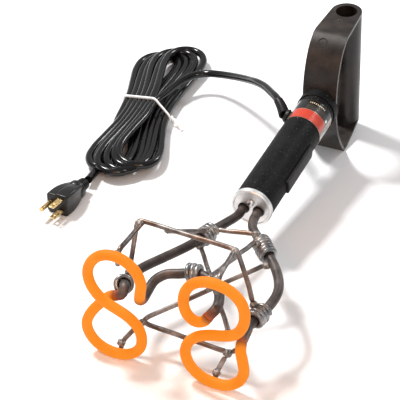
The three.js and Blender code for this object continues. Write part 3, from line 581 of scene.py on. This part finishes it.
# LEAD runs from the gland to the hank. TAIL runs from the hank to the plug, in in_hank's (u, v, z).
LEAD = [
    (-22.9, 327.3, 72.5), (-30, 337, 75), (-41, 351, 75), (-54, 367, 71), (-68, 384, 66),
    (-83, 399, 60), (-98, 414, 52), (-114, 428, 44), (-131, 441, 36), (-149, 451, 29),
    (-165, 454, 25), (-179, 447, 23), (-187, 433, 21.5), (-191, 416, 20), (-193.5, 399, 19),
]
TAIL = [
    (72, -31, 4.3), (45, -28, 4.3), (18, -25, 4.3), (-8, -23, 4.3), (-30, -22.5, 4.6),
    (-46, -23, 8), (-59.4, -23.6, 9.8),
]


def in_hank(u, v, z):
    """A point u along the hank from its front, v to its right and z up."""
    return HANK_FRONT + hank_run * u + hank_side * v + Vector((0, 0, z))


def hank_lap(turn):
    """The cord's place in the hank after a number of laps, begun at the waist on the top left.
    Each lap lies further left and lower than the one before, and draws in at the waist."""
    angle = -math.tau * (turn + 0.25)
    lengthwise, sideways = math.cos(angle), math.sin(angle)
    done = turn / HANK_TURNS
    tip = lengthwise ** 2
    middle = (14 - 37 * done) * (1 - tip) + (16 - 38 * done) * tip
    uneven = math.sin(2.3 * turn + 1)
    v = middle + sideways * (WAIST_HALF + (LOBE_HALF + 5 * uneven) * tip)
    bulge = math.sin(math.pi * done)
    reach = 139 - 9 * done if lengthwise > 0 else 119 + 6 * done + 15 * bulge
    reach += 2.5 * uneven
    over_tail = 5
    z = CORD_R + 0.1 + PILE * (1 - done) * (1 - 0.5 * sideways)
    z += over_tail * done * max(0, -lengthwise) ** 2
    return in_hank(HANK_WAIST + lengthwise * reach, v, z)


def make_cord():
    """One tube for the lead, the laps of the hank and the tail, with its route and length."""
    laps = [hank_lap(i / POINTS_PER_TURN) for i in range(HANK_TURNS * POINTS_PER_TURN + 1)]
    knots = [Vector(p) for p in LEAD] + laps + [in_hank(*p) for p in TAIL]
    route = smooth_route([drawn(p) for p in knots], CORD_STEP)
    length = sum((b - a).length for a, b in zip(route, route[1:]))
    bm = tube(route, CORD_R * MM, 16)
    nodes = ["cord_lead", "cord_hank", "cord_tail"]
    cord = piece("mains_cord", to_mesh(bm), JACKET, "tool", nodes)
    return cord, route, length


cord, cord_route, cord_length = make_cord()


def hull(points):
    """The outline round a set of (across, height) points, counter-clockwise."""
    points = sorted(points)

    def half(run):
        kept = []
        for p in run:
            while len(kept) > 1 and (
                (kept[-1][0] - kept[-2][0]) * (p[1] - kept[-2][1])
                <= (kept[-1][1] - kept[-2][1]) * (p[0] - kept[-2][0])
            ):
                kept.pop()
            kept.append(p)
        return kept[:-1]

    return half(points) + half(points[::-1])


TIE_SLOPE = 0.62
TIE_FLOOR = 2.4


def strands_under_tie(middle):
    """Where the cord crosses the tie's slanting plane, as (across, height) from its middle."""
    near = 60 * MM
    strands = []
    for a, b in zip(cord_route, cord_route[1:]):
        sides = []
        for p in (a, b):
            rel = p - middle
            sides.append(rel.dot(hank_run) + TIE_SLOPE * rel.dot(hank_side))
        if sides[0] * sides[1] < 0:
            p = a.lerp(b, sides[0] / (sides[0] - sides[1])) - middle
            if abs(p.dot(hank_side)) < near:
                strands.append((p.dot(hank_side), p.z))
    return strands


def twisted_end(right, side):
    """One of the tie's two ends, wound round the other and opened at the tip."""
    up = Vector((0, 0, 1))
    half_turn, twist, steps = math.pi / 2, 9, 40
    points = []
    for i in range(steps):
        t = i / (steps - 1)
        angle = side * half_turn + twist * t
        out = right + hank_side * (2 + 13 * t) * MM + up * (2 - 7 * t) * MM
        ring = hank_run * math.cos(angle) + up * math.sin(angle)
        apart = 1.1 + 1.4 * max(0, t - 0.75) * 4
        point = out + ring * apart * MM - hank_run * 9 * t * MM
        point.z = max(point.z, 1.6 * MM)
        points.append(point)
    return points


def make_tie():
    """A flat strip drawn tight round the hank's waist, with its ends twisted together."""
    middle = drawn(HANK_FRONT + hank_run * HANK_WAIST)
    reach = (CORD_R + 0.6) * MM
    around = []
    for v, z in strands_under_tie(middle):
        for k in range(16):
            angle = math.tau * k / 16
            height = max(z + reach * math.sin(angle), TIE_FLOOR * MM)
            around.append((v + reach * math.cos(angle), height))
    loop = []
    for v, z in hull(around):
        loop.append(middle + hank_side * v - hank_run * TIE_SLOPE * v + Vector((0, 0, z)))
    loop = even(loop + loop[:1], 1.5 * MM)[:-1]
    bm = tube(loop, MM, 12, flat=(1.3, 1.9), closed=True)
    made = [piece("twist_tie", to_mesh(bm), TIE, "tool", ["hank_tie"])]
    right = max(loop, key=lambda p: p.dot(hank_side))
    for name, side in (("tie_end_left", -1), ("tie_end_right", 1)):
        bm = tube(even(twisted_end(right, side), MM), MM, 8, flat=(0.7, 1.5))
        made.append(piece(name, to_mesh(bm), TIE, "tool", ()))
    return made


tie_pieces = make_tie()


# ---------------------------------------------------------------- plug

PLUG_FACE = (-197, 168, 12.8)
PLUG_YAW = math.radians(-5)
CORD_DROP = 3


def rounded_edges(bm, edges, offset, segments):
    bmesh.ops.bevel(
        bm, geom=edges, offset=offset, segments=segments, profile=0.5, affect="EDGES", material=-1,
    )


def tapered_block(left, right, low, high, start, end):
    """A block along y whose rear half draws in towards the cord."""
    bm = bmesh.new()
    size = Matrix.Diagonal((right - left, end - start, high - low, 1))
    middle = Vector((left + right, start + end, low + high)) / 2
    bmesh.ops.create_cube(bm, size=1, matrix=Matrix.Translation(middle) @ size)
    rings = 12
    for k in range(1, rings):
        y = start + (end - start) * k / rings
        geom = [*bm.verts, *bm.edges, *bm.faces]
        bmesh.ops.bisect_plane(bm, geom=geom, plane_co=(0, y, 0), plane_no=(0, 1, 0))
    long_edges = [e for e in bm.edges if abs(e.verts[0].co.y - e.verts[1].co.y) > 0.5]
    rounded_edges(bm, long_edges, 2.6, 4)
    straight = 9
    for v in bm.verts:
        back = max(0, (v.co.y - start - straight) / (end - start - straight))
        v.co.x *= 1 - 0.36 * back ** 1.7
        v.co.z = (v.co.z + CORD_DROP) * (1 - 0.44 * back ** 1.9) - CORD_DROP
    rim = [e for e in bm.edges if all(abs(v.co.y - start) < 0.01 for v in e.verts)]
    rounded_edges(bm, rim, 0.9, 3)
    return bm


def make_plug_body():
    """The moulded body with its raised side, and the collar and ribs where the cord goes in."""
    seat = Matrix.Translation(drawn(PLUG_FACE))
    place = seat @ Matrix.Rotation(PLUG_YAW, 4, "Z") @ Matrix.Scale(MM, 4)
    body = placed(tapered_block(-11.8, 11.6, -12.3, 9.4, 0, 35), place)
    step = placed(tapered_block(-2.6, 12.3, -12.5, 10.5, 0.4, 34), place)
    profile = [(0, 28), (9.3, 28.5), (10, 29.5), (10, 36), (9.2, 37.2), (7.4, 37.6)]
    ribs, rib_pitch = 4, 2.7
    for k in range(ribs):
        y, r = 38.4 + k * rib_pitch, 7.4 - k * 0.42
        profile += [(r, y), (r, y + 1.2), (r - 1.1, y + 1.6), (r - 1.1, y + 2.3)]
    profile += [(5.7, 49), (4.4, 49.4), (0, 49.4)]
    neck = placed(turned(profile), place @ Matrix.Translation((0, 0, -CORD_DROP)))
    whole = bpy.data.meshes.new("plug")
    joined = bmesh.new()
    for part in (body, step, neck):
        bmesh.ops.recalc_face_normals(part, faces=part.faces)
        part.to_mesh(whole)
        part.free()
        joined.from_mesh(whole)
    bpy.data.meshes.remove(whole)
    return piece("plug_moulding", to_mesh(joined), PLUG, "tool", ["plug_body"], 35)


def make_plug():
    body = make_plug_body()
    upper = softened("plug_blade_top", "plug_blade_upper", BRASS, "tool", 0.35)
    lower = softened("plug_blade_low", "plug_blade_lower", BRASS, "tool", 0.35)
    pin = softened("plug_earth_pin", "plug_ground_pin", BRASS, "tool", 0.3)
    return [body, upper, lower, pin]


plug_pieces = make_plug()


# ---------------------------------------------------------------- heater sheath


def beside(middle, points):
    return [drawn((middle + x, y, z)) for x, y, z in points]


# Points that the heater tube passes through, in order from the left leg to the right. A figure's
# points, its leads and the ends of the link are measured across from the middle of that figure.
LEFT_LEG = [
    (-7.9, 178, 46.6), (-10.5, 163, 48.5), (-16.5, 142, 50), (-25.5, 112, 50),
    (-37.7, 86, 50), (-49, 62, 50), (-51, 46, 51),
]
LEFT_LEAD = [(-4, 34, 54), (-0.5, 23, 60.5), (4.2, 16, 66), (7, 10.8, 67), (5.8, 7.6, 62.2)]
LEFT_FIGURE = [
    (0.5, 7.8, 59.3), (-6, 8.8, 56), (-14.5, 6.2, 47.5), (-21, 2, 39), (-24.8, 0, 29),
    (-23.4, 0, 18.5), (-16.5, 0, 9.5), (-6, 0, 4.6), (5, 0, 4), (17, 0, 8), (25.5, 0, 17),
    (27.5, 0, 28), (24, 0, 39), (15, 0, 47), (5, 0, 51.5), (-5, 0, 55.5), (-14, 0, 62.5),
    (-20, 0, 72), (-21.5, 0, 83), (-17.5, 0, 94), (-9, 0, 102.5), (2.5, 0, 106),
    (14.5, 0, 103.5), (24, 0, 95.5), (28, 0, 85), (27, 0, 74.5),
]
LINK_LEFT = [(25.5, 2.2, 66.5), (25, 9, 62.6), (24.2, 20, 63.8), (25, 31, 67)]
LINK_MIDDLE = [(-15, 39, 70), (-4.5, 42, 72), (6.5, 43, 75)]
LINK_RIGHT = [(-28, 42, 77), (-16, 36, 77.5), (-7, 26.5, 77), (-1.5, 15, 77.5), (0.3, 5, 77.2)]
RIGHT_FIGURE = [
    (-3.4, 0.6, 72.5), (-8, 0, 65.8), (-15.5, 0, 63), (-23, 0, 68), (-26.3, 0, 78),
    (-24.8, 0, 90), (-18, 0, 100), (-7, 0, 105.6), (5, 0, 106), (16.5, 0, 102.3),
    (24.8, 0, 94), (27.7, 0, 83), (26, 0, 71), (20, 0, 61.5), (10, 0, 56.5), (-2, 0, 53.2),
    (-13.5, 0, 48), (-22, 0, 39), (-25, 0, 27.5), (-21, 0, 15.5), (-11.5, 0, 7), (1, 0, 4),
    (13.5, 0, 5.5), (23.5, 0, 13), (28, 0, 24), (26.8, 0, 35), (23.8, 2.4, 43.5),
]
RIGHT_LEAD = [(21.5, 9.5, 46.5), (19, 20, 48.4)]
RIGHT_LEG = [
    (67.5, 34, 48.6), (70, 48, 48.6), (72.5, 62, 49), (72.5, 78, 50), (68, 93, 50),
    (56, 113, 50), (41, 130, 50.5), (26, 147, 50.2), (13.5, 163, 48.5), (8.2, 178, 46.6),
]
ENTRY = [-3, 6, 16, 26]
ENTRY_X, ENTRY_H = 7.5, -1.5

STRETCHES = [
    [on_barrel(-ENTRY_X, s, ENTRY_H) for s in ENTRY[::-1]] + [drawn(p) for p in LEFT_LEG]
    + beside(LEFT_X, LEFT_LEAD),
    beside(LEFT_X, LEFT_FIGURE),
    beside(LEFT_X, LINK_LEFT) + beside(FIGURE_MID_X, LINK_MIDDLE) + beside(RIGHT_X, LINK_RIGHT),
    beside(RIGHT_X, RIGHT_FIGURE),
    beside(RIGHT_X, RIGHT_LEAD) + [drawn(p) for p in RIGHT_LEG]
    + [on_barrel(ENTRY_X, s, ENTRY_H) for s in ENTRY],
]
SHEATH_STEP = 2.5
sheath_route = smooth_route([k for part in STRETCHES for k in part], SHEATH_STEP)


def nearest(point, start=0):
    return min(range(start, len(sheath_route)), key=lambda i: (sheath_route[i] - point).length)


def make_sheath():
    """Five lengths of one tube. glow_share fades over a few rings where hot meets cold."""
    names = [
        ("sheath_left_leg", "cold_leg_left"), ("hot_figure_left", "hot_loop_left"),
        ("sheath_link", "link_tube"), ("hot_figure_right", "hot_loop_right"),
        ("sheath_right_leg", "cold_leg_right"),
    ]
    cuts = [0]
    for part in STRETCHES[1:]:
        cuts.append(nearest(part[0], cuts[-1] + 5))
    cuts.append(len(sheath_route) - 1)
    fade = 4
    far = 99
    for i, (name, node) in enumerate(names):
        hot = i in (1, 3)
        points = sheath_route[cuts[i]: cuts[i + 1] + 1]
        last = len(points) - 1
        glow = []
        for k in range(last + 1):
            if hot:
                glow.append(min(1, min(k, last - k) / 3 + 0.25))
            else:
                to_hot = min(k if i > 0 else far, last - k if i < 4 else far)
                glow.append(max(0, 1 - to_hot / fade))
        radius = (HOT_R if hot else SHEATH_R) * MM
        bm = tube(points, radius, 24, {"glow_share": glow})
        for v in bm.verts:
            v.co.z = max(v.co.z, 0)
        piece(name, to_mesh(bm), HOT if hot else SHEATH, "tool", [node], 60)


make_sheath()


# ---------------------------------------------------------------- bracing wire


def wandering(points, amount, seed):
    """Hand-bent wire is never quite straight. The ends stay where they are. noise_vector starts
    from the clock, so the drift isn't the same from one run to the next."""
    waviness, eased = 45, 4
    moved = []
    for i, p in enumerate(points):
        drift = noise.noise_vector(p * waviness + Vector((seed, 0, 0)))
        ease = min(1, min(i, len(points) - 1 - i) / eased)
        moved.append(p + drift * amount * MM * ease)
    return moved


def wire_piece(name, node, points, material, end):
    """Wire along the points, with its cut ends drawn in to a share of its radius."""
    radii = [WIRE_R * MM] * len(points)
    radii[0] = radii[-1] = end * WIRE_R * MM
    return piece(name, to_mesh(tube(points, radii, 12)), material, "tool", [node], 50)


def wound(target, turns, phase):
    """Points of wire wound tightly round the sheath where it passes nearest the target."""
    centre_index = nearest(drawn(target))
    steps_per_turn, pitch = 20, 4.3
    steps = round(turns * steps_per_turn)
    half = turns * pitch / 2
    points = []
    for i in range(steps + 1):
        t = i / steps
        place = centre_index + (-half + 2 * half * t) / SHEATH_STEP
        k = min(max(int(math.floor(place)), 0), len(sheath_route) - 2)
        centre = sheath_route[k].lerp(sheath_route[k + 1], place - k)
        along = (sheath_route[k + 1] - sheath_route[k]).normalized()
        side = Vector((0, 0, 1)).cross(along).normalized()
        over = along.cross(side)
        angle = phase + math.tau * turns * t
        loose = 0.25 + 0.75 * noise.noise(Vector((phase + 7, 3 * turns * t, 0)))
        reach = (SHEATH_R + WIRE_R + max(0, loose)) * MM
        points.append(centre + (side * math.cos(angle) + over * math.sin(angle)) * reach)
    return points


def make_wraps():
    wraps = [
        ("left_leg_wrap", "wrap_left_leg", (-19, 132, 50.5), 3.5, 0),
        ("left_lead_wrap", "wrap_left_lead", (LEFT_X - 0.5, 23, 60.5), 2.5, 2),
        ("link_wrap", "wrap_link", (12, 43, 76), 2.5, 0),
        ("right_leg_upper_wrap", "wrap_right_upper", (38, 133.5, 50.5), 5.5, 0),
        ("right_leg_lower_wrap", "wrap_right_lower", (RIGHT_X + 21.2, 45, 48.6), 3.5, 0),
    ]
    for name, node, target, turns, phase in wraps:
        wire_piece(name, node, wound(target, turns, phase), WRAP, 0.8)


def weld_bead(name, at, size, seed):
    """A lump of weld: a ball with half-sizes of size, swollen unevenly."""
    bm = bmesh.new()
    bmesh.ops.create_icosphere(bm, subdivisions=4, radius=1)
    middle = drawn(at)
    for v in bm.verts:
        swell = 1 + 0.28 * noise.noise(v.co * 1.6 + Vector((seed, seed, 0)))
        swell += 0.07 * noise.noise(v.co * 5 + Vector((0, seed, 0)))
        v.co = middle + Vector([a * b for a, b in zip(v.co, size)]) * swell * MM
    return piece(name, to_mesh(bm), WELD, "tool", (), 80)


STAY_LEFT, STAY_RIGHT, STAY_CROSS = LEFT_X + 3.5, RIGHT_X + 0.5, RIGHT_X - 7.5


def make_stays():
    """The bracket and the stays, each given by its node, its corners and the bend at them."""
    top = FIGURE_TOP
    back = 6.6
    low = top - 14
    stays = [
        ("bracket", "bracket_wire", [
            (-46, 36, 68), (-46.5, 44, 84), (-48.5, 56.5, 105), (46, 52, 105), (58, 50, 72),
            (61.5, 50, 58)], 5),
        ("stay_top_left", "stay_upper_left", [
            (STAY_LEFT - 1, 50.5, top - 1), (STAY_LEFT, back + 2.1, top - 0.5),
            (STAY_LEFT, back, low)], 6),
        ("stay_top_right", "stay_upper_right", [
            (STAY_RIGHT - 4, 47, top - 1), (STAY_RIGHT, back + 2.1, top), (STAY_RIGHT, back, low)], 6),
        ("stay_across", "stay_cross", [
            (31, 125, 61.5), (STAY_CROSS, back + 2.1, top - 2), (STAY_CROSS + 0.5, back, low)], 6),
        ("tie_left", "tie_wire_left", [(-20, 57, 101), (-19, 118, 63.5), (-17.5, 127, 59)], 6),
        ("tie_rear", "tie_wire_rear", [(-9.5, 138, 55), (4, 139.5, 56), (24, 141, 58.5)], 8),
        ("stay_mid", "stay_middle", [(-17.5, 118.5, 44.5), (-8, 104, 48), (58.5, 7.4, 56.4)], 10),
        ("stay_low", "stay_lower", [
            (44, 114.5, 46.5), (-24.5, 26.5, 30), (-27, 21.5, 28), (-21, 20.5, 26.5), (51, 21, 22)], 6),
        ("stay_low_right", "stay_lower_right", [(66, 38, 40.5), (65, 24, 30), (56.5, 21.2, 23.5)], 6),
        ("foot_left", "stay_foot_left", [(-29, 17.5, 26.5), (-40, 8.5, 12.5), (-42, 6.9, 3)], 6),
        ("foot_right", "stay_foot_right", [(52, 16, 20), (49, 8.5, 10.5), (47.5, 6.9, 3)], 6),
    ]
    for seed, (name, node, corners, bend) in enumerate(stays):
        line = even(bent([drawn(c) for c in corners], bend), 1.6 * MM)
        wire_piece(name, node, wandering(line, 0.5, seed * 3.7), WIRE, 0.82)


def make_welds():
    """Lumps where the stays meet the figures, the bracket, the wraps and each other."""
    top = FIGURE_TOP
    beads = [
        ((STAY_LEFT, 4.6, top - 1.5), (3.4, 3.6, 4.0)), ((STAY_RIGHT, 4.6, top - 1), (3.6, 3.6, 4.2)),
        ((STAY_CROSS, 4.6, top - 3.5), (3.2, 3.4, 3.8)), ((-40.5, 6.2, 11), (3.2, 3.4, 3.8)),
        ((48.7, 6.2, 9.5), (3.4, 3.6, 3.8)), ((58.5, 5.2, 56.4), (3.0, 3.0, 3.0)),
        ((53.2, 19.4, 22.2), (3.9, 4.2, 3.4)), ((-27.8, 19.6, 27.2), (3.2, 3.8, 3.2)),
        ((66.5, 39.6, 42.4), (3.0, 3.4, 3.4)), ((-44.2, 52.4, 105), (3.8, 3.6, 3.0)),
        ((45.2, 49.6, 105), (3.0, 4.0, 2.9)), ((32.2, 126.6, 58.8), (3.4, 3.6, 3.8)),
        ((-20, 56.4, 103), (2.8, 3.0, 3.4)), ((-17.8, 128.2, 57.6), (3.0, 3.6, 3.4)),
        ((-11.6, 137.2, 54.6), (3.4, 3.2, 3.2)), ((26, 141.3, 58.2), (3.4, 3.2, 3.2)),
        ((-19.2, 119.8, 45.4), (3.8, 3.6, 3.2)), ((46.8, 115.2, 47.4), (4.0, 3.2, 3.0)),
        ((62.8, 49.6, 55.6), (3.4, 3.2, 3.8)), ((-46, 33.8, 66.8), (3.0, 3.8, 3.6)),
    ]
    for i, (at, size) in enumerate(beads):
        weld_bead(f"weld_{i + 1}", at, size, i * 2.3)


make_wraps()
make_stays()
make_welds()


# ---------------------------------------------------------------- cap, barrel, label, switch, handle

def make_cap():
    softened("cap_casting", "end_cap", CAST, "tool", 0.45)
    # Painted shade: a thin dark ring round each sheath hole stands in for the dark gap between tube and
    # hole, not for a real washer.
    inner, outer, thick = 4.1, 5.7, 0.3
    profile = [
        (inner, -thick), (outer - 0.2, -thick), (outer, -0.05), (outer, thick), (inner, thick),
        (inner, -thick),
    ]
    for side, x in (("left", -ENTRY_X), ("right", ENTRY_X)):
        place = BARREL_FRAME @ Matrix.Translation((x, -0.05, ENTRY_H))
        shade_ring = placed(turned(profile, 40), place)
        piece(f"hole_shade_ring_{side}", to_mesh(shade_ring), GLAND, "tool", (), 40)
    softened("cap_screw_head", "cap_screw", STEEL, "tool", 0.25)


def make_barrel_and_handle():
    softened("barrel_tube", "handle_barrel", BARREL, "tool", 0.35, 40)
    softened("label_sleeve", "label_wrap", LABEL, "tool", 0.05, 60)
    softened("paddle", "trigger_paddle", TRIGGER, "trigger", 0.7)
    softened("collar", "rear_collar", BARREL, "tool", 0.5)
    softened("handle_shell", "d_handle", HANDLE, "tool", 0.9)
    softened("bolt", "handle_bolt", STEEL, "tool", 0.4)
    softened("gland", "cord_gland", GLAND, "tool", 0.5)


def make_strain_relief():
    """A ribbed rubber sleeve that tapers along the start of the cord."""
    points = even(cord_route[:8], 0.8 * MM)
    last = len(points) - 1
    root, taper, groove = 5.9, 1.2, 0.75
    radii = []
    for i in range(last + 1):
        in_groove = i % 4 in (2, 3) and i < last - 2
        radii.append((root - taper * i / last - (groove if in_groove else 0)) * MM)
    radii[-1] = 4.4 * MM
    piece("strain_relief", to_mesh(tube(points, radii, 20)), GLAND, "tool", (), 50)


def facing(seat, outward):
    """Puts a turned solid's y axis along outward, at the seat, and its millimetres in metres."""
    turn = outward.to_track_quat("Y", "Z").to_matrix().to_4x4()
    return Matrix.Translation(seat) @ turn @ Matrix.Scale(MM, 4)


def make_handle_marks():
    """The raised ring and dot moulded on the handle's front band."""
    seat = on_barrel(-5.3, 197.9, 62.4)
    outward = (UP * 0.78 - ALONG * 0.62).normalized()
    place = facing(seat, outward)
    ring = turned([(4.9, -0.6), (4.9, 0.15), (4.6, 0.45), (4.1, 0.45), (3.8, 0.15), (3.8, -0.6)])
    piece("handle_ring_mark", to_mesh(placed(ring, place)), HANDLE, "tool", (), 40)
    place = facing(on_barrel(-1, 233.8, 68.4), UP)
    dot = turned([(0, 0.9), (1.2, 0.75), (1.9, 0.3), (2.1, -0.5)], 32)
    piece("handle_dot_mark", to_mesh(placed(dot, place)), HANDLE, "tool", (), 50)


INSIDE = {
    "insulator_disc": CERAMIC, "terminal_left": STEEL, "terminal_right": STEEL,
    "barrel_plug": STEEL, "switch_carrier": CARRIER, "trigger_pin": STEEL,
    "switch_body": SWITCH, "switch_plunger": BRASS, "switch_screw_front": STEEL,
    "switch_screw_rear": STEEL, "trigger_spring": STEEL, "lead_neutral": SLEEVE,
    "lead_heater": SLEEVE, "lead_live": SLEEVE,
}


def finish_inside():
    """The pieces inside the barrel keep the frame's own shapes."""
    for node, material in INSIDE.items():
        mesh = frame["nodes"][node].data
        mesh.materials.clear()
        mesh.materials.append(material)


make_cap()
make_barrel_and_handle()
make_strain_relief()
make_handle_marks()
finish_inside()


# ---------------------------------------------------------------- floor, light and camera


def make_floor():
    """A floor six metres each way from the middle."""
    bm = bmesh.new()
    bmesh.ops.create_grid(bm, x_segments=2, y_segments=2, size=6)
    mesh = bpy.data.meshes.new("floor")
    bm.to_mesh(mesh)
    bm.free()
    mesh.materials.append(studio_floor())
    floor = bpy.data.objects.new("floor", mesh)
    bpy.context.scene.collection.objects.link(floor)


def add_panel(name, place, aim, size, power, color):
    """An oblong area light, with place, aim and size in metres and power in watts."""
    data = bpy.data.lights.new(name, "AREA")
    data.shape = "RECTANGLE"
    data.size, data.size_y = size
    data.energy = power
    data.color = color
    light = bpy.data.objects.new(name, data)
    light.location = place
    light.rotation_mode = "QUATERNION"
    light.rotation_quaternion = (Vector(aim) - Vector(place)).to_track_quat("-Z", "Y")
    bpy.context.scene.collection.objects.link(light)


def add_light():
    add_panel("key", (-1.2, 0.3, 1.9), (0, 0, 0), (0.4, 0.4), 62, (1.0, 0.99, 0.97))
    add_panel("fill", (1.2, -1.3, 1.3), (0, 0, 0.05), (0.5, 0.9), 11, (1.0, 0.96, 0.91))
    add_panel("back", (0.5, 1.7, 1.1), (0, 0.1, 0.05), (0.4, 0.3), 9, (0.97, 0.98, 1.0))
    add_panel("warmth", (0.02, -0.36, 0.3), (0, 0.2, 0.12), (0.18, 0.12), 0.5, (1.0, 0.42, 0.1))
    world = bpy.data.worlds.new("studio")
    world.use_nodes = True
    sky = world.node_tree.nodes["Background"]
    sky.inputs["Color"].default_value = (0.97, 0.98, 1.0, 1)
    sky.inputs["Strength"].default_value = 0.5
    bpy.context.scene.world = world
    bpy.context.scene.view_settings.view_transform = "Standard"


def add_camera():
    """Looks down on the floor point aim from the front right."""
    aim, distance = (-80.4, 250.7, 0), 1.403
    azimuth, elevation = math.radians(25), math.radians(33.4)
    level = math.cos(elevation)
    back = Vector((math.sin(azimuth) * level, -math.cos(azimuth) * level, math.sin(elevation)))
    data = bpy.data.cameras.new("camera")
    data.sensor_width = 36
    data.lens = 126
    camera = bpy.data.objects.new("camera", data)
    camera.location = drawn(aim) + back * distance
    camera.rotation_mode = "QUATERNION"
    camera.rotation_quaternion = (-back).to_track_quat("-Z", "Y")
    bpy.context.scene.collection.objects.link(camera)
    bpy.context.scene.camera = camera


make_floor()
add_light()
add_camera()
